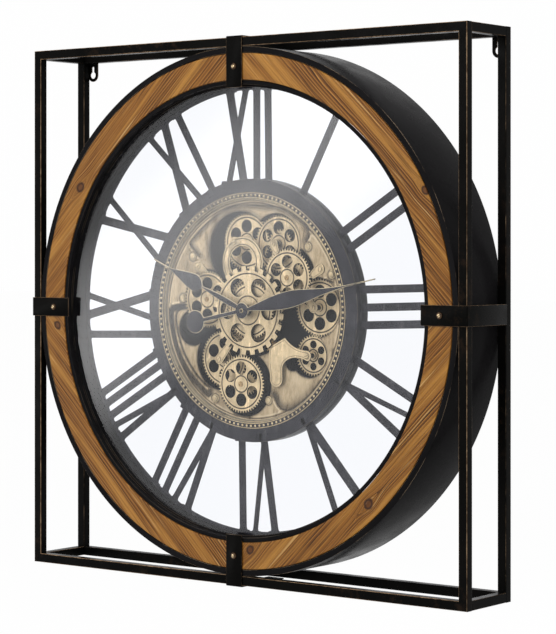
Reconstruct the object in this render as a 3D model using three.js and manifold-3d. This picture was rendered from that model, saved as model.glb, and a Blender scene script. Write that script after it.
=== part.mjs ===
// Wall clock: square tube frame, drum with a wooden ring, skeleton dial and a panel of turning wheels.
// Millimetres. X runs to the viewer's right, Z runs up and the front faces -Y.
// A depth is measured back from the frame's front plane. An angle is measured from +X towards +Z.
import * as THREE from 'three';
import { mergeVertices } from 'three/addons/utils/BufferGeometryUtils.js';
import Module from 'manifold-3d';

const wasm = await Module();
wasm.setup();

// Driving dimensions of the frame, straps and hangers
const FRAME_SIZE = 700;
const FRAME_DEPTH = 100;
const TUBE = 12;
const TUBE_WALL = 1;
const GAP = 0.3;
const STRAP_WIDTH = 25;
const STRAP_T = 1.5;
const STRAP_INNER_R = 285.5;
const SCREW_AT_R = 312.5;
const SCREW_HEAD_R = 4.2;
const SCREW_HEAD_H = 2.5;
const SCREW_SHANK_R = 2;
const HANGER_X = 332;
const HANGER_WIDTH = 18;
const HANGER_BOTTOM_Z = 313;
const HANGER_T = 1.5;
const KEYHOLE_R = 4.7;
const KEYHOLE_SLOT = 4;
const KEYHOLE_TOP_Z = 334;

// Driving dimensions of the drum, wooden ring and glazing
const RING_SIDES = 60;
const HUB_SIDES = 48;
const MODULE_SIDES = 40;
const DRUM_R = 336.5;
const DRUM_WALL = 1;
const DRUM_FRONT = 0.5;
const DRUM_FLANGE_R = 330;
const WOOD_INNER_R = 295.3;
const WOOD_OUTER_R = 329.2;
const WOOD_T = 12;
const BEZEL_INNER_R = 286;
const BEZEL_FRONT = 1;
const BEZEL_BACK = 10;
const GLASS_R = 290;
const GLASS_T = 3;
const LINER_R = 290.8;
const SHEET_T = 1.2;
const LEDGE_R = 287.8;

// Driving dimensions of the dial
const DIAL_DEPTH = 40;
const DIAL_T = 2;
const DIAL_TURN = THREE.MathUtils.degToRad(2.1);
const DIAL_OUTER_R = 290.2;
const DIAL_OPENING_R = 287;
const HUB_R = 169.8;
const HUB_INNER_R = 144;
const STROKE = 10;
const THICK_ARM = 11.5;
const THIN_ARM = 8;
const FINE_ARM = 6.5;
const STROKE_FLARE = 5;

// Driving dimensions of the gear module
const GEAR_BEZEL_FRONT = 32.3;
const GEAR_BEZEL_LIP_R = 141;
const PANEL_R = 149.8;
const PANEL_FRONT = 37;
const PANEL_BACK = 39.7;
const BEAD_RING_R = 148.5;
const BEAD_RING_HALF = 3.4;
const BEAD_RING_H = 1.9;
const CASE_WALL = 5;
const CASE_FLOOR = 53.5;
const CASE_BACK = 55;
const POST_R = 2.5;
const BORE_R = 2.9;
const SLEEVE_R = 5;
const COCK_DEPTH = 32;
const COCK_T = 1.6;

// Toothing: all fine wheels share one module, so meshing wheels roll on their pitch circles
const MODULE = 1.348;
const ADDENDUM = 1;
const DEDENDUM = 1.7;
const WHEEL_T = 2.4;
const FRONT_WHEEL_T = 3;
const FRONT_LAYER = 28.5;
const UPPER_LAYER = 34;
const MIDDLE_LAYER = 43;
const LOWER_LAYER = 46.4;
const SPOKE_HOLES = 6;
const HOLE_CIRCLE = 20.5;
const HOLE_R = 8.4;
const CENTRE_TEETH = 24;
const CENTRE_TIP_R = 57.5;
const CENTRE_ROOT_R = 51.5;
const CENTRE_HOLE_CIRCLE = 33.5;
const CENTRE_HOLE_R = 12;

// Driving dimensions of the hands, movement and motor
const MINUTE_DEPTH = 15.5;
const HOUR_DEPTH = 18.5;
const HAND_T = 1.2;
const MINUTE_ANGLE = THREE.MathUtils.degToRad(11.6);
const HOUR_ANGLE = THREE.MathUtils.degToRad(156.5);
const MINUTE_LENGTH = 212;
const HOUR_LENGTH = 164;
const MINUTE_HUB_R = 10.5;
const HOUR_HUB_R = 9;
const TAIL_LENGTH = 78.5;
const TAIL_DISC_R = 15;
const SHAFT_R = 1.9;
const PIPE_INNER_R = 2.4;
const PIPE_OUTER_R = 3.4;
const TUBE_INNER_R = 3.8;
const TUBE_OUTER_R = 5;
const TUBE_FRONT = 24;
const SHAFT_BACK = 50;
const ARBOR_INNER_R = 5.6;
const ARBOR_OUTER_R = 8;
const MOVEMENT_SIZE = 56;
const MOVEMENT_T = 16;
const MOTOR_BOX = { x: 30, z: -76, width: 64, height: 78, thickness: 20 };
const CELL_R = 7.1;
const CELL_LENGTH = 50;

// Depth zero lies so that the box of the whole clock is centred on the origin
const FRONT_Y = -(FRAME_DEPTH + HANGER_T - STRAP_T - GAP - SCREW_HEAD_H) / 2;
const HALF = FRAME_SIZE / 2;

const COLOURS = {
  blackSteel: { color: 0x17140f, roughness: 0.55, metalness: 0.6 },
  wood: { color: 0xa9712f, roughness: 0.6, metalness: 0 },
  glass: { color: 0xe8eef2, roughness: 0.02, metalness: 0, transparent: true, opacity: 0.18 },
  charcoal: { color: 0x4a4a50, roughness: 0.6, metalness: 0.3 },
  gold: { color: 0xbfa374, roughness: 0.45, metalness: 0.7 },
  brass: { color: 0xb08d57, roughness: 0.35, metalness: 0.9 },
  blackPlastic: { color: 0x1b1b1d, roughness: 0.5, metalness: 0 },
  cell: { color: 0x8a8f96, roughness: 0.35, metalness: 0.5 },
};

const clock = new THREE.Group();

function addMesh(name, geometry, colour, parent = clock) {
  const mesh = new THREE.Mesh(geometry, new THREE.MeshStandardMaterial(COLOURS[colour]));
  mesh.name = name;
  parent.add(mesh);
  return mesh;
}

function yAt(depth) {
  return FRONT_Y + depth;
}

// Turns a geometry's faces outward and merges its shared vertices
function closed(geometry) {
  const bare = new THREE.BufferGeometry();
  bare.setAttribute('position', geometry.getAttribute('position'));
  bare.setIndex(geometry.getIndex());
  const merged = mergeVertices(bare, 1e-4);
  const p = merged.getAttribute('position');
  const index = merged.getIndex().array;
  const [a, b, c] = [new THREE.Vector3(), new THREE.Vector3(), new THREE.Vector3()];
  const kept = [];
  let volume = 0;
  for (let i = 0; i < index.length; i += 3) {
    const [ia, ib, ic] = [index[i], index[i + 1], index[i + 2]];
    if (ia === ib || ib === ic || ic === ia) continue;
    kept.push(ia, ib, ic);
    a.fromBufferAttribute(p, ia);
    b.fromBufferAttribute(p, ib);
    c.fromBufferAttribute(p, ic);
    volume += a.dot(b.cross(c));
  }
  if (volume < 0) kept.reverse();
  merged.setIndex(kept);
  return merged;
}

function toSolid(geometry) {
  const g = closed(geometry);
  const mesh = new wasm.Mesh({
    numProp: 3,
    vertProperties: new Float32Array(g.getAttribute('position').array),
    triVerts: new Uint32Array(g.getIndex().array),
  });
  return new wasm.Manifold(mesh);
}

function toGeometry(solid) {
  const mesh = solid.getMesh();
  const g = new THREE.BufferGeometry();
  g.setAttribute('position', new THREE.BufferAttribute(new Float32Array(mesh.vertProperties), 3));
  g.setIndex(new THREE.BufferAttribute(new Uint32Array(mesh.triVerts), 1));
  return g;
}

function join(...geometries) {
  return toGeometry(geometries.map(toSolid).reduce((sum, next) => sum.add(next)));
}

function cut(geometry, ...tools) {
  return toGeometry(tools.map(toSolid).reduce((rest, tool) => rest.subtract(tool), toSolid(geometry)));
}

// A flat plate: a shape drawn in X and Z, from a depth backwards
function plate(shape, depth, thickness, curveSegments = 8) {
  const g = new THREE.ExtrudeGeometry(shape, { depth: thickness, bevelEnabled: false, curveSegments });
  return g.rotateX(Math.PI / 2).translate(0, yAt(depth + thickness), 0);
}

// A ring or disc about the hands' axis from a closed profile of [radius, depth] points
function spun(profile, sides = RING_SIDES) {
  const points = [...profile, profile[0]].map(([r, depth]) => new THREE.Vector2(r, yAt(depth)));
  return closed(new THREE.LatheGeometry(points, sides));
}

function rod(x, z, radius, front, back, sides = 8) {
  const g = new THREE.CylinderGeometry(radius, radius, back - front, sides);
  return g.translate(x, yAt((front + back) / 2), z);
}

function block(x, z, width, height, front, back) {
  const g = new THREE.BoxGeometry(width, back - front, height);
  return g.translate(x, yAt((front + back) / 2), z);
}

function circle(x, z, radius) {
  return new THREE.Shape().absarc(x, z, radius, 0, 2 * Math.PI);
}

function polar(radius, angle, from = { x: 0, z: 0 }) {
  return { x: from.x + radius * Math.cos(angle), z: from.z + radius * Math.sin(angle) };
}

// A hollow square tube along X, mitred at both ends for a square frame
function mitredTube(front) {
  const corners = (inset) => [
    [HALF - inset, front + inset],
    [HALF - inset, front + TUBE - inset],
    [HALF - TUBE + inset, front + TUBE - inset],
    [HALF - TUBE + inset, front + inset],
  ];
  const positions = [];
  for (const end of [-1, 1]) {
    for (const [r, depth] of [...corners(0), ...corners(TUBE_WALL)]) {
      positions.push(end * (r - GAP / 2), yAt(depth), r);
    }
  }
  const faces = [];
  const quad = (a, b, c, d) => faces.push(a, b, c, a, c, d);
  for (let i = 0; i < 4; i++) {
    const j = (i + 1) % 4;
    quad(i, j, 8 + j, 8 + i);
    quad(4 + j, 4 + i, 12 + i, 12 + j);
    quad(j, i, 4 + i, 4 + j);
    quad(8 + i, 8 + j, 12 + j, 12 + i);
  }
  const g = new THREE.BufferGeometry();
  g.setAttribute('position', new THREE.Float32BufferAttribute(positions, 3));
  g.setIndex(faces);
  return closed(g);
}

function buildFrame() {
  const sides = ['top', 'right', 'bottom', 'left'];
  const [front, rear] = [mitredTube(0), mitredTube(FRAME_DEPTH - TUBE)];
  sides.forEach((side, i) => {
    addMesh(`front_frame_${side}`, front, 'blackSteel').rotation.y = (i * Math.PI) / 2;
    addMesh(`rear_frame_${side}`, rear, 'blackSteel').rotation.y = (i * Math.PI) / 2;
  });
  const middle = HALF - TUBE / 2;
  const bore = TUBE - 2 * TUBE_WALL;
  for (const [name, x, z] of [
    ['top_left', -middle, middle],
    ['top_right', middle, middle],
    ['bottom_left', -middle, -middle],
    ['bottom_right', middle, -middle],
  ]) {
    const bar = block(x, z, TUBE, TUBE, TUBE + GAP, FRAME_DEPTH - TUBE - GAP);
    addMesh(`corner_rail_${name}`, cut(bar, block(x, z, bore, bore, 0, FRAME_DEPTH)), 'blackSteel');
  }
}

// Keyhole plate on the back of the rear frame, hanging below the top tube beside the post
function buildHanger(name, x) {
  const half = HANGER_WIDTH / 2;
  const holeZ = HANGER_BOTTOM_Z + half;
  const outline = new THREE.Shape();
  outline.absarc(x, holeZ, half, Math.PI, 2 * Math.PI);
  outline.lineTo(x + half, HALF - TUBE_WALL);
  outline.lineTo(x - half, HALF - TUBE_WALL);
  const slotAngle = Math.acos(KEYHOLE_SLOT / 2 / KEYHOLE_R);
  const keyhole = new THREE.Path();
  keyhole.absarc(x, holeZ, KEYHOLE_R, Math.PI - slotAngle, slotAngle);
  keyhole.absarc(x, KEYHOLE_TOP_Z - KEYHOLE_SLOT / 2, KEYHOLE_SLOT / 2, 0, Math.PI);
  outline.holes.push(keyhole);
  addMesh(name, plate(outline, FRAME_DEPTH, HANGER_T, 5), 'blackSteel');
}

// L-shaped flat bar over the frame and the wooden ring, with its screw, drawn at three o'clock
function buildStraps() {
  const outer = HALF + GAP;
  const profile = new THREE.Shape([
    new THREE.Vector2(STRAP_INNER_R, -STRAP_T),
    new THREE.Vector2(outer + STRAP_T, -STRAP_T),
    new THREE.Vector2(outer + STRAP_T, FRAME_DEPTH - TUBE),
    new THREE.Vector2(outer, FRAME_DEPTH - TUBE),
    new THREE.Vector2(outer, 0),
    new THREE.Vector2(STRAP_INNER_R, 0),
  ]);
  const bar = new THREE.ExtrudeGeometry(profile, { depth: STRAP_WIDTH, bevelEnabled: false });
  bar.translate(0, yAt(-GAP), -STRAP_WIDTH / 2);
  const holed = cut(bar, rod(SCREW_AT_R, 0, SCREW_SHANK_R + GAP, -10, 10));
  const seat = -GAP - STRAP_T - GAP;
  const dome = [0.25, 0.55, 0.85].map((t) => [
    SCREW_HEAD_R * Math.sin((t * Math.PI) / 2),
    seat - SCREW_HEAD_H * Math.cos((t * Math.PI) / 2) + GAP,
  ]);
  const screwProfile = [
    [0, seat - SCREW_HEAD_H + GAP],
    ...dome,
    [SCREW_HEAD_R, seat],
    [SCREW_SHANK_R, seat],
    [SCREW_SHANK_R, WOOD_T - 1],
    [0, WOOD_T - 1],
  ];
  const screw = spun(screwProfile, 8).translate(SCREW_AT_R, 0, 0);
  ['right', 'bottom', 'left', 'top'].forEach((side, i) => {
    addMesh(`strap_${side}`, holed, 'blackSteel').rotation.y = (i * Math.PI) / 2;
    addMesh(`strap_screw_${side}`, screw, 'brass').rotation.y = (i * Math.PI) / 2;
  });
}

// Four curved boards that meet under the straps, notched there for the screws
function buildWood() {
  const outline = new THREE.Shape();
  const trim = GAP / WOOD_INNER_R;
  outline.absarc(0, 0, WOOD_OUTER_R, trim, Math.PI / 2 - trim);
  outline.absarc(0, 0, WOOD_INNER_R, Math.PI / 2 - trim, trim, true);
  const notch = SCREW_SHANK_R + GAP;
  const board = cut(
    plate(outline, 0, WOOD_T, 9),
    rod(SCREW_AT_R, 0, notch, -1, WOOD_T + 1),
    rod(0, SCREW_AT_R, notch, -1, WOOD_T + 1),
  );
  ['top_right', 'bottom_right', 'bottom_left', 'top_left'].forEach((name, i) => {
    addMesh(`wood_${name}`, board, 'wood').rotation.y = (i * Math.PI) / 2;
  });
}

function buildBody() {
  const inner = DRUM_R - DRUM_WALL;
  addMesh('drum_shell', spun([
    [DRUM_FLANGE_R, DRUM_FRONT],
    [DRUM_R, DRUM_FRONT],
    [DRUM_R, FRAME_DEPTH],
    [inner, FRAME_DEPTH],
    [inner, DRUM_FRONT + SHEET_T],
    [DRUM_FLANGE_R, DRUM_FRONT + SHEET_T],
  ]), 'blackSteel');
  addMesh('bezel_ring', spun([
    [BEZEL_INNER_R, BEZEL_FRONT],
    [WOOD_INNER_R - 2 * GAP, BEZEL_FRONT],
    [WOOD_INNER_R - 2 * GAP, BEZEL_FRONT + SHEET_T],
    [BEZEL_INNER_R + SHEET_T, BEZEL_FRONT + SHEET_T],
    [BEZEL_INNER_R + SHEET_T, BEZEL_BACK],
    [BEZEL_INNER_R, BEZEL_BACK],
  ]), 'blackSteel');
  const glassFront = BEZEL_BACK + GAP;
  addMesh('front_glass', rod(0, 0, GLASS_R, glassFront, glassFront + GLASS_T, RING_SIDES), 'glass');
  const web = WOOD_T + GAP;
  const ledge = DIAL_DEPTH + DIAL_T + GAP;
  addMesh('carrier_ring', spun([
    [inner - 2 * GAP, web],
    [inner - 2 * GAP, web + SHEET_T],
    [LINER_R + SHEET_T, web + SHEET_T],
    [LINER_R + SHEET_T, ledge + SHEET_T],
    [LEDGE_R, ledge + SHEET_T],
    [LEDGE_R, ledge],
    [LINER_R, ledge],
    [LINER_R, web],
  ]), 'blackSteel');
}

// One stroke of a numeral from the hub ring to the outer ring, with its outer end flared into that ring
function strokeShape(innerT, outerT, width) {
  const from = HUB_R - 10;
  const to = Math.sqrt(DIAL_OPENING_R ** 2 - outerT ** 2) + 1.5;
  const lean = Math.atan2(outerT - innerT, to - from);
  const half = width / 2 / Math.cos(lean);
  const side = (r) => innerT + ((outerT - innerT) * (r - from)) / (to - from);
  const flareFrom = to - 1.5 - STROKE_FLARE;
  const shape = new THREE.Shape();
  shape.moveTo(side(from) - half, from);
  shape.lineTo(side(flareFrom) - half, flareFrom);
  shape.quadraticCurveTo(side(to) - half, to, side(to) - half - STROKE_FLARE, to);
  shape.lineTo(side(to) + half + STROKE_FLARE, to);
  shape.quadraticCurveTo(side(to) + half, to, side(flareFrom) + half, flareFrom);
  shape.lineTo(side(from) + half, from);
  return shape;
}

// Strokes of each numeral as [inner offset, outer offset, width], clockwise from the hour's own radius
const NUMERALS = {
  XII: [[-9, -29, THICK_ARM], [-36, -2, THIN_ARM], [11, 15.5, STROKE], [30.5, 33.5, STROKE]],
  I: [[0, 1, STROKE]],
  II: [[-10, -9, STROKE], [13, 14, STROKE]],
  III: [[-22.5, -22, STROKE], [0, 0, STROKE], [22, 22, STROKE]],
  IV: [[-23, -23, STROKE], [13, -4, FINE_ARM], [10, 29, STROKE]],
  V: [[1.5, -20, THICK_ARM], [1, 23.5, THIN_ARM]],
  VI: [[-10, -24.5, STROKE], [-12, 8, FINE_ARM], [25, 27.5, STROKE]],
  VII: [[-13.5, -26, STROKE], [-16, -0.5, THIN_ARM], [15.5, 18.5, STROKE], [37.5, 39.5, STROKE]],
  VIII: [[-22, -28.5, STROKE], [-25, -9.5, THIN_ARM], [2.5, 5.5, STROKE], [19.5, 23, STROKE], [35.5, 39, STROKE]],
  IX: [[-29, -27.5, STROKE], [26, -1, THICK_ARM], [-10.5, 26, THIN_ARM]],
  X: [[19, -17.5, THICK_ARM], [-21, 14.5, THIN_ARM]],
  XI: [[-28.5, 2.5, THICK_ARM], [5, -28.5, THIN_ARM], [25, 28, STROKE]],
};

// Skeleton dial: a narrow outer ring, a hub ring and the numerals' strokes between them
function buildDial() {
  const outerRing = circle(0, 0, DIAL_OUTER_R);
  outerRing.holes.push(circle(0, 0, DIAL_OPENING_R));
  const hubRing = circle(0, 0, HUB_R);
  hubRing.holes.push(circle(0, 0, HUB_INNER_R));
  const pieces = [
    plate(outerRing, DIAL_DEPTH, DIAL_T, RING_SIDES / 2),
    plate(hubRing, DIAL_DEPTH, DIAL_T, HUB_SIDES / 2),
  ];
  Object.values(NUMERALS).forEach((strokes, hour) => {
    for (const stroke of strokes) {
      const bar = plate(strokeShape(...stroke), DIAL_DEPTH, DIAL_T, 2);
      pieces.push(bar.rotateY((hour * Math.PI) / 6 - DIAL_TURN));
    }
  });
  const outside = spun([
    [DIAL_OUTER_R, 0],
    [DIAL_OUTER_R + 20, 0],
    [DIAL_OUTER_R + 20, FRAME_DEPTH],
    [DIAL_OUTER_R, FRAME_DEPTH],
  ]);
  addMesh('dial_plate', cut(join(...pieces), outside), 'charcoal');
}

// Wheel train: each wheel is placed where it meshes with the wheel that drives it
function toothPhase(angle, driver, teeth) {
  const share = (driver.teeth * (angle - driver.phase)) / (2 * Math.PI);
  return angle + Math.PI - ((0.5 - share) * 2 * Math.PI) / teeth;
}

function meshed(driver, degrees, teeth) {
  const angle = THREE.MathUtils.degToRad(degrees);
  const distance = (MODULE * (driver.teeth + teeth)) / 2;
  return { ...polar(distance, angle, driver), teeth, phase: toothPhase(angle, driver, teeth) };
}

function onAxisOf(wheel, teeth) {
  return { ...wheel, teeth, phase: wheel.phase };
}

const FINE_TEETH = 54;
const upperCentre = { x: 0, z: 0, teeth: FINE_TEETH, phase: 0 };
const lowerCentre = { x: 0, z: 0, teeth: 67, phase: 0 };
const upperRight = meshed(upperCentre, 35.8, FINE_TEETH);
const upperRightPinion = onAxisOf(upperRight, 17);
const upperRightLowerPinion = onAxisOf(upperRight, 30);
const left = meshed(upperCentre, 169.5, FINE_TEETH);
const lowerLeft = meshed(lowerCentre, 232, FINE_TEETH);
const bottomPinion = meshed(lowerLeft, -38.2, 20);
const bottom = onAxisOf(bottomPinion, FINE_TEETH);
const topRight = meshed(upperRightPinion, 115.3, FINE_TEETH);
const topRightPinion = onAxisOf(topRight, 27);
const topLeft = meshed(topRightPinion, 177.3, FINE_TEETH);
const right = meshed(upperRightLowerPinion, -41.4, FINE_TEETH);
const lowerRight = meshed(right, 260.5, 38);
const motor = meshed(lowerCentre, -60, 12);
const ARCH_CENTRE = { x: -11.7, z: 62 };
const ARCH_FOOT = { x: -40, z: 52 };

function toothedShape({ x, z, teeth, phase }) {
  const pitchR = (MODULE * teeth) / 2;
  const points = [];
  for (let i = 0; i < 2 * teeth; i++) {
    const radius = i % 2 === 0 ? pitchR + ADDENDUM : pitchR - DEDENDUM;
    const p = polar(radius, phase + (i * Math.PI) / teeth, { x, z });
    points.push(new THREE.Vector2(p.x, p.z));
  }
  return new THREE.Shape(points);
}

function piercedWheel(wheel, depth, holeCircle = HOLE_CIRCLE, holeR = HOLE_R) {
  const shape = toothedShape(wheel);
  for (let i = 0; i < SPOKE_HOLES; i++) {
    const hole = polar(holeCircle, ((i + 0.5) * 2 * Math.PI) / SPOKE_HOLES, wheel);
    shape.holes.push(circle(hole.x, hole.z, holeR));
  }
  return plate(shape, depth, WHEEL_T, 4);
}

// A wheel with its sleeve and pinions, bored to run on its post
function addWheel(name, wheel, layer, front, pinions = [], holes = []) {
  const sleeveBack = CASE_FLOOR - 2 * GAP;
  const pieces = [
    piercedWheel(wheel, layer, ...holes),
    rod(wheel.x, wheel.z, SLEEVE_R, front, sleeveBack),
    ...pinions.map(([pinion, depth]) => plate(toothedShape(pinion), depth, WHEEL_T)),
  ];
  const bore = rod(wheel.x, wheel.z, BORE_R, front - 1, sleeveBack + 1);
  addMesh(name, cut(join(...pieces), bore), 'gold');
}

function buildCentreWheel() {
  const step = (2 * Math.PI) / CENTRE_TEETH;
  const tooth = [
    [CENTRE_ROOT_R, -0.3],
    [CENTRE_TIP_R, -0.24],
    [CENTRE_TIP_R, 0.24],
    [CENTRE_ROOT_R, 0.3],
  ];
  const points = [];
  for (let i = 0; i < CENTRE_TEETH; i++) {
    for (const [radius, share] of tooth) {
      const p = polar(radius, (i + 0.5 + share) * step);
      points.push(new THREE.Vector2(p.x, p.z));
    }
  }
  const shape = new THREE.Shape(points);
  for (let i = 0; i < SPOKE_HOLES; i++) {
    const hole = polar(CENTRE_HOLE_CIRCLE, (i * 2 * Math.PI) / SPOKE_HOLES);
    shape.holes.push(circle(hole.x, hole.z, CENTRE_HOLE_R));
  }
  shape.holes.push(circle(0, 0, ARBOR_INNER_R));
  addMesh('centre_wheel', plate(shape, FRONT_LAYER, FRONT_WHEEL_T, 5), 'gold');

  const front = FRONT_LAYER + FRONT_WHEEL_T + GAP;
  const back = CASE_FLOOR - 2 * GAP;
  const arbor = join(
    rod(0, 0, ARBOR_OUTER_R, front, back, 16),
    plate(toothedShape(upperCentre), UPPER_LAYER, WHEEL_T),
    plate(toothedShape(lowerCentre), MIDDLE_LAYER, WHEEL_T),
  );
  addMesh('centre_arbor', cut(arbor, rod(0, 0, ARBOR_INNER_R, front - 1, back + 1, 16)), 'gold');
}

function buildWheels() {
  buildCentreWheel();
  addWheel('wheel_upper_right', upperRight, UPPER_LAYER, UPPER_LAYER, [
    [upperRightPinion, MIDDLE_LAYER],
    [upperRightLowerPinion, LOWER_LAYER],
  ]);
  addWheel('wheel_left', left, UPPER_LAYER, UPPER_LAYER);
  addWheel('wheel_lower_left', lowerLeft, MIDDLE_LAYER, MIDDLE_LAYER - 2);
  addWheel('wheel_bottom', bottom, FRONT_LAYER, FRONT_LAYER, [[bottomPinion, MIDDLE_LAYER]]);
  addWheel('wheel_top_right', topRight, MIDDLE_LAYER, MIDDLE_LAYER - 2, [[topRightPinion, LOWER_LAYER]]);
  addWheel('wheel_top_left', topLeft, LOWER_LAYER, LOWER_LAYER - 2);
  addWheel('wheel_right', right, LOWER_LAYER, LOWER_LAYER - 2);
  addWheel('wheel_lower_right', lowerRight, LOWER_LAYER, LOWER_LAYER - 2, [], [14, 5]);

  const shaftBack = CASE_BACK + 8;
  addMesh('motor_pinion', join(
    plate(toothedShape(motor), MIDDLE_LAYER, WHEEL_T),
    rod(motor.x, motor.z, POST_R, MIDDLE_LAYER, shaftBack),
  ), 'brass');
}

// Round tub behind the dial with the posts that the wheels turn on
function buildGearCase() {
  const ledge = DIAL_DEPTH + DIAL_T + GAP;
  const tub = spun([
    [HUB_R, ledge],
    [HUB_R, CASE_BACK],
    [ARBOR_INNER_R, CASE_BACK],
    [ARBOR_INNER_R, CASE_FLOOR],
    [HUB_R - CASE_WALL, CASE_FLOOR],
    [HUB_R - CASE_WALL, ledge],
  ], MODULE_SIDES);
  const underCock = COCK_DEPTH + COCK_T + GAP;
  const posts = [
    [upperRight, UPPER_LAYER - 0.5],
    [left, UPPER_LAYER - 0.5],
    [bottom, FRONT_LAYER - 0.5],
    [lowerLeft, underCock],
    [topRight, underCock],
    [topLeft, underCock],
    [right, underCock],
    [lowerRight, underCock],
    [ARCH_FOOT, underCock],
  ].map(([at, front]) => rod(at.x, at.z, POST_R, front, CASE_BACK));
  const shaftHole = rod(motor.x, motor.z, POST_R + 2 * GAP, CASE_FLOOR - 1, CASE_BACK + 1);
  addMesh('gear_case', cut(join(tub, ...posts), shaftHole), 'blackPlastic');
}

// Charcoal ring in front of the dial's hub ring, with the bead ring on it and the gold panel behind its lip
function buildGearBezel() {
  addMesh('gear_bezel', spun([
    [GEAR_BEZEL_LIP_R + 4, GEAR_BEZEL_FRONT],
    [HUB_R, GEAR_BEZEL_FRONT],
    [HUB_R, DIAL_DEPTH - GAP],
    [PANEL_R + GAP, DIAL_DEPTH - GAP],
    [PANEL_R + GAP, PANEL_FRONT - GAP],
    [GEAR_BEZEL_LIP_R, PANEL_FRONT - GAP],
  ], MODULE_SIDES), 'charcoal');
  const seat = GEAR_BEZEL_FRONT - GAP;
  addMesh('bead_ring', spun([
    [BEAD_RING_R - BEAD_RING_HALF, seat],
    [BEAD_RING_R - BEAD_RING_HALF / 2, seat - BEAD_RING_H],
    [BEAD_RING_R + BEAD_RING_HALF / 2, seat - BEAD_RING_H],
    [BEAD_RING_R + BEAD_RING_HALF, seat],
  ], MODULE_SIDES), 'gold');
}

// Gold panel, open around the wheels and in dark crescents beside them
function buildPanel() {
  const clearance = 1.2;
  const wheelR = (MODULE * FINE_TEETH) / 2 + ADDENDUM + clearance;
  const smallWheelR = (MODULE * lowerRight.teeth) / 2 + ADDENDUM + clearance;
  const openings = [
    [{ x: 0, z: 0 }, CENTRE_TIP_R + 2],
    [upperRight, wheelR + 3],
    [bottom, wheelR + 3.5],
    [topRight, wheelR],
    [topLeft, wheelR],
    [right, wheelR],
    [lowerRight, smallWheelR],
    [lowerLeft, wheelR + 2],
    [left, wheelR],
    [{ x: -21, z: 79 }, 48],
    [{ x: 67, z: -15 }, 32],
    [{ x: 66, z: -64 }, 12],
    [{ x: -98, z: -25 }, 23],
    [{ x: -68, z: -27 }, 15],
  ].map(([at, radius]) => rod(at.x, at.z, radius, PANEL_FRONT - 1, PANEL_BACK + 1, 24));
  const disc = rod(0, 0, PANEL_R, PANEL_FRONT, PANEL_BACK, MODULE_SIDES);
  addMesh('gear_panel', cut(disc, ...openings), 'gold');
}

// A cock: a round seat over a wheel's post with a tapering arm
function addCock(name, at, degrees, length) {
  const angle = THREE.MathUtils.degToRad(degrees);
  const [seatR, tipR] = [6.5, 4.5];
  const tip = polar(length, angle, at);
  const shape = new THREE.Shape();
  shape.absarc(at.x, at.z, seatR, angle + Math.PI / 2, angle - Math.PI / 2);
  shape.absarc(tip.x, tip.z, tipR, angle - Math.PI / 2, angle + Math.PI / 2);
  addMesh(name, plate(shape, COCK_DEPTH, COCK_T, 6), 'gold');
}

function buildBridges() {
  addCock('cock_top_right', topRight, -65, 9);
  addCock('cock_right', right, 130, 14);
  addCock('cock_lower_left', lowerLeft, 48, 26);

  const arch = circle(ARCH_CENTRE.x, ARCH_CENTRE.z, 33);
  arch.holes.push(circle(ARCH_CENTRE.x, ARCH_CENTRE.z, 21));
  const ear = circle(-25, 88, 7);
  const archPlate = join(plate(arch, COCK_DEPTH, COCK_T, 14), plate(ear, COCK_DEPTH, COCK_T, 8));
  addMesh('arch_plate', cut(archPlate, rod(0, 0, CENTRE_ROOT_R - 3, 0, CASE_BACK, 30)), 'gold');

  const seatR = 6.5;
  const outline = new THREE.Shape();
  outline.moveTo(57, -34);
  outline.quadraticCurveTo(70, -49, lowerRight.x, lowerRight.z + seatR);
  outline.absarc(lowerRight.x, lowerRight.z, seatR, Math.PI / 2, -Math.PI / 2, true);
  outline.bezierCurveTo(78, -55, 54, -58, 52.5, -74);
  outline.lineTo(53, -87);
  outline.absarc(43, -87, 10, 0, Math.PI, true);
  outline.bezierCurveTo(34, -76, 28, -66, 33, -46);
  outline.closePath();
  const foot = rod(43, -87, 5, COCK_DEPTH + COCK_T / 2, PANEL_FRONT - GAP);
  addMesh('anchor_bridge', join(plate(outline, COCK_DEPTH, COCK_T, 8), foot), 'gold');
}

// A hand drawn along +X, from half an outline above its own axis
function handBlade(halfOutline) {
  const shape = new THREE.Shape();
  const points = halfOutline.getPoints(5);
  shape.setFromPoints([...points, ...points.map((p) => new THREE.Vector2(p.x, -p.y)).reverse()]);
  return shape;
}

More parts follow.
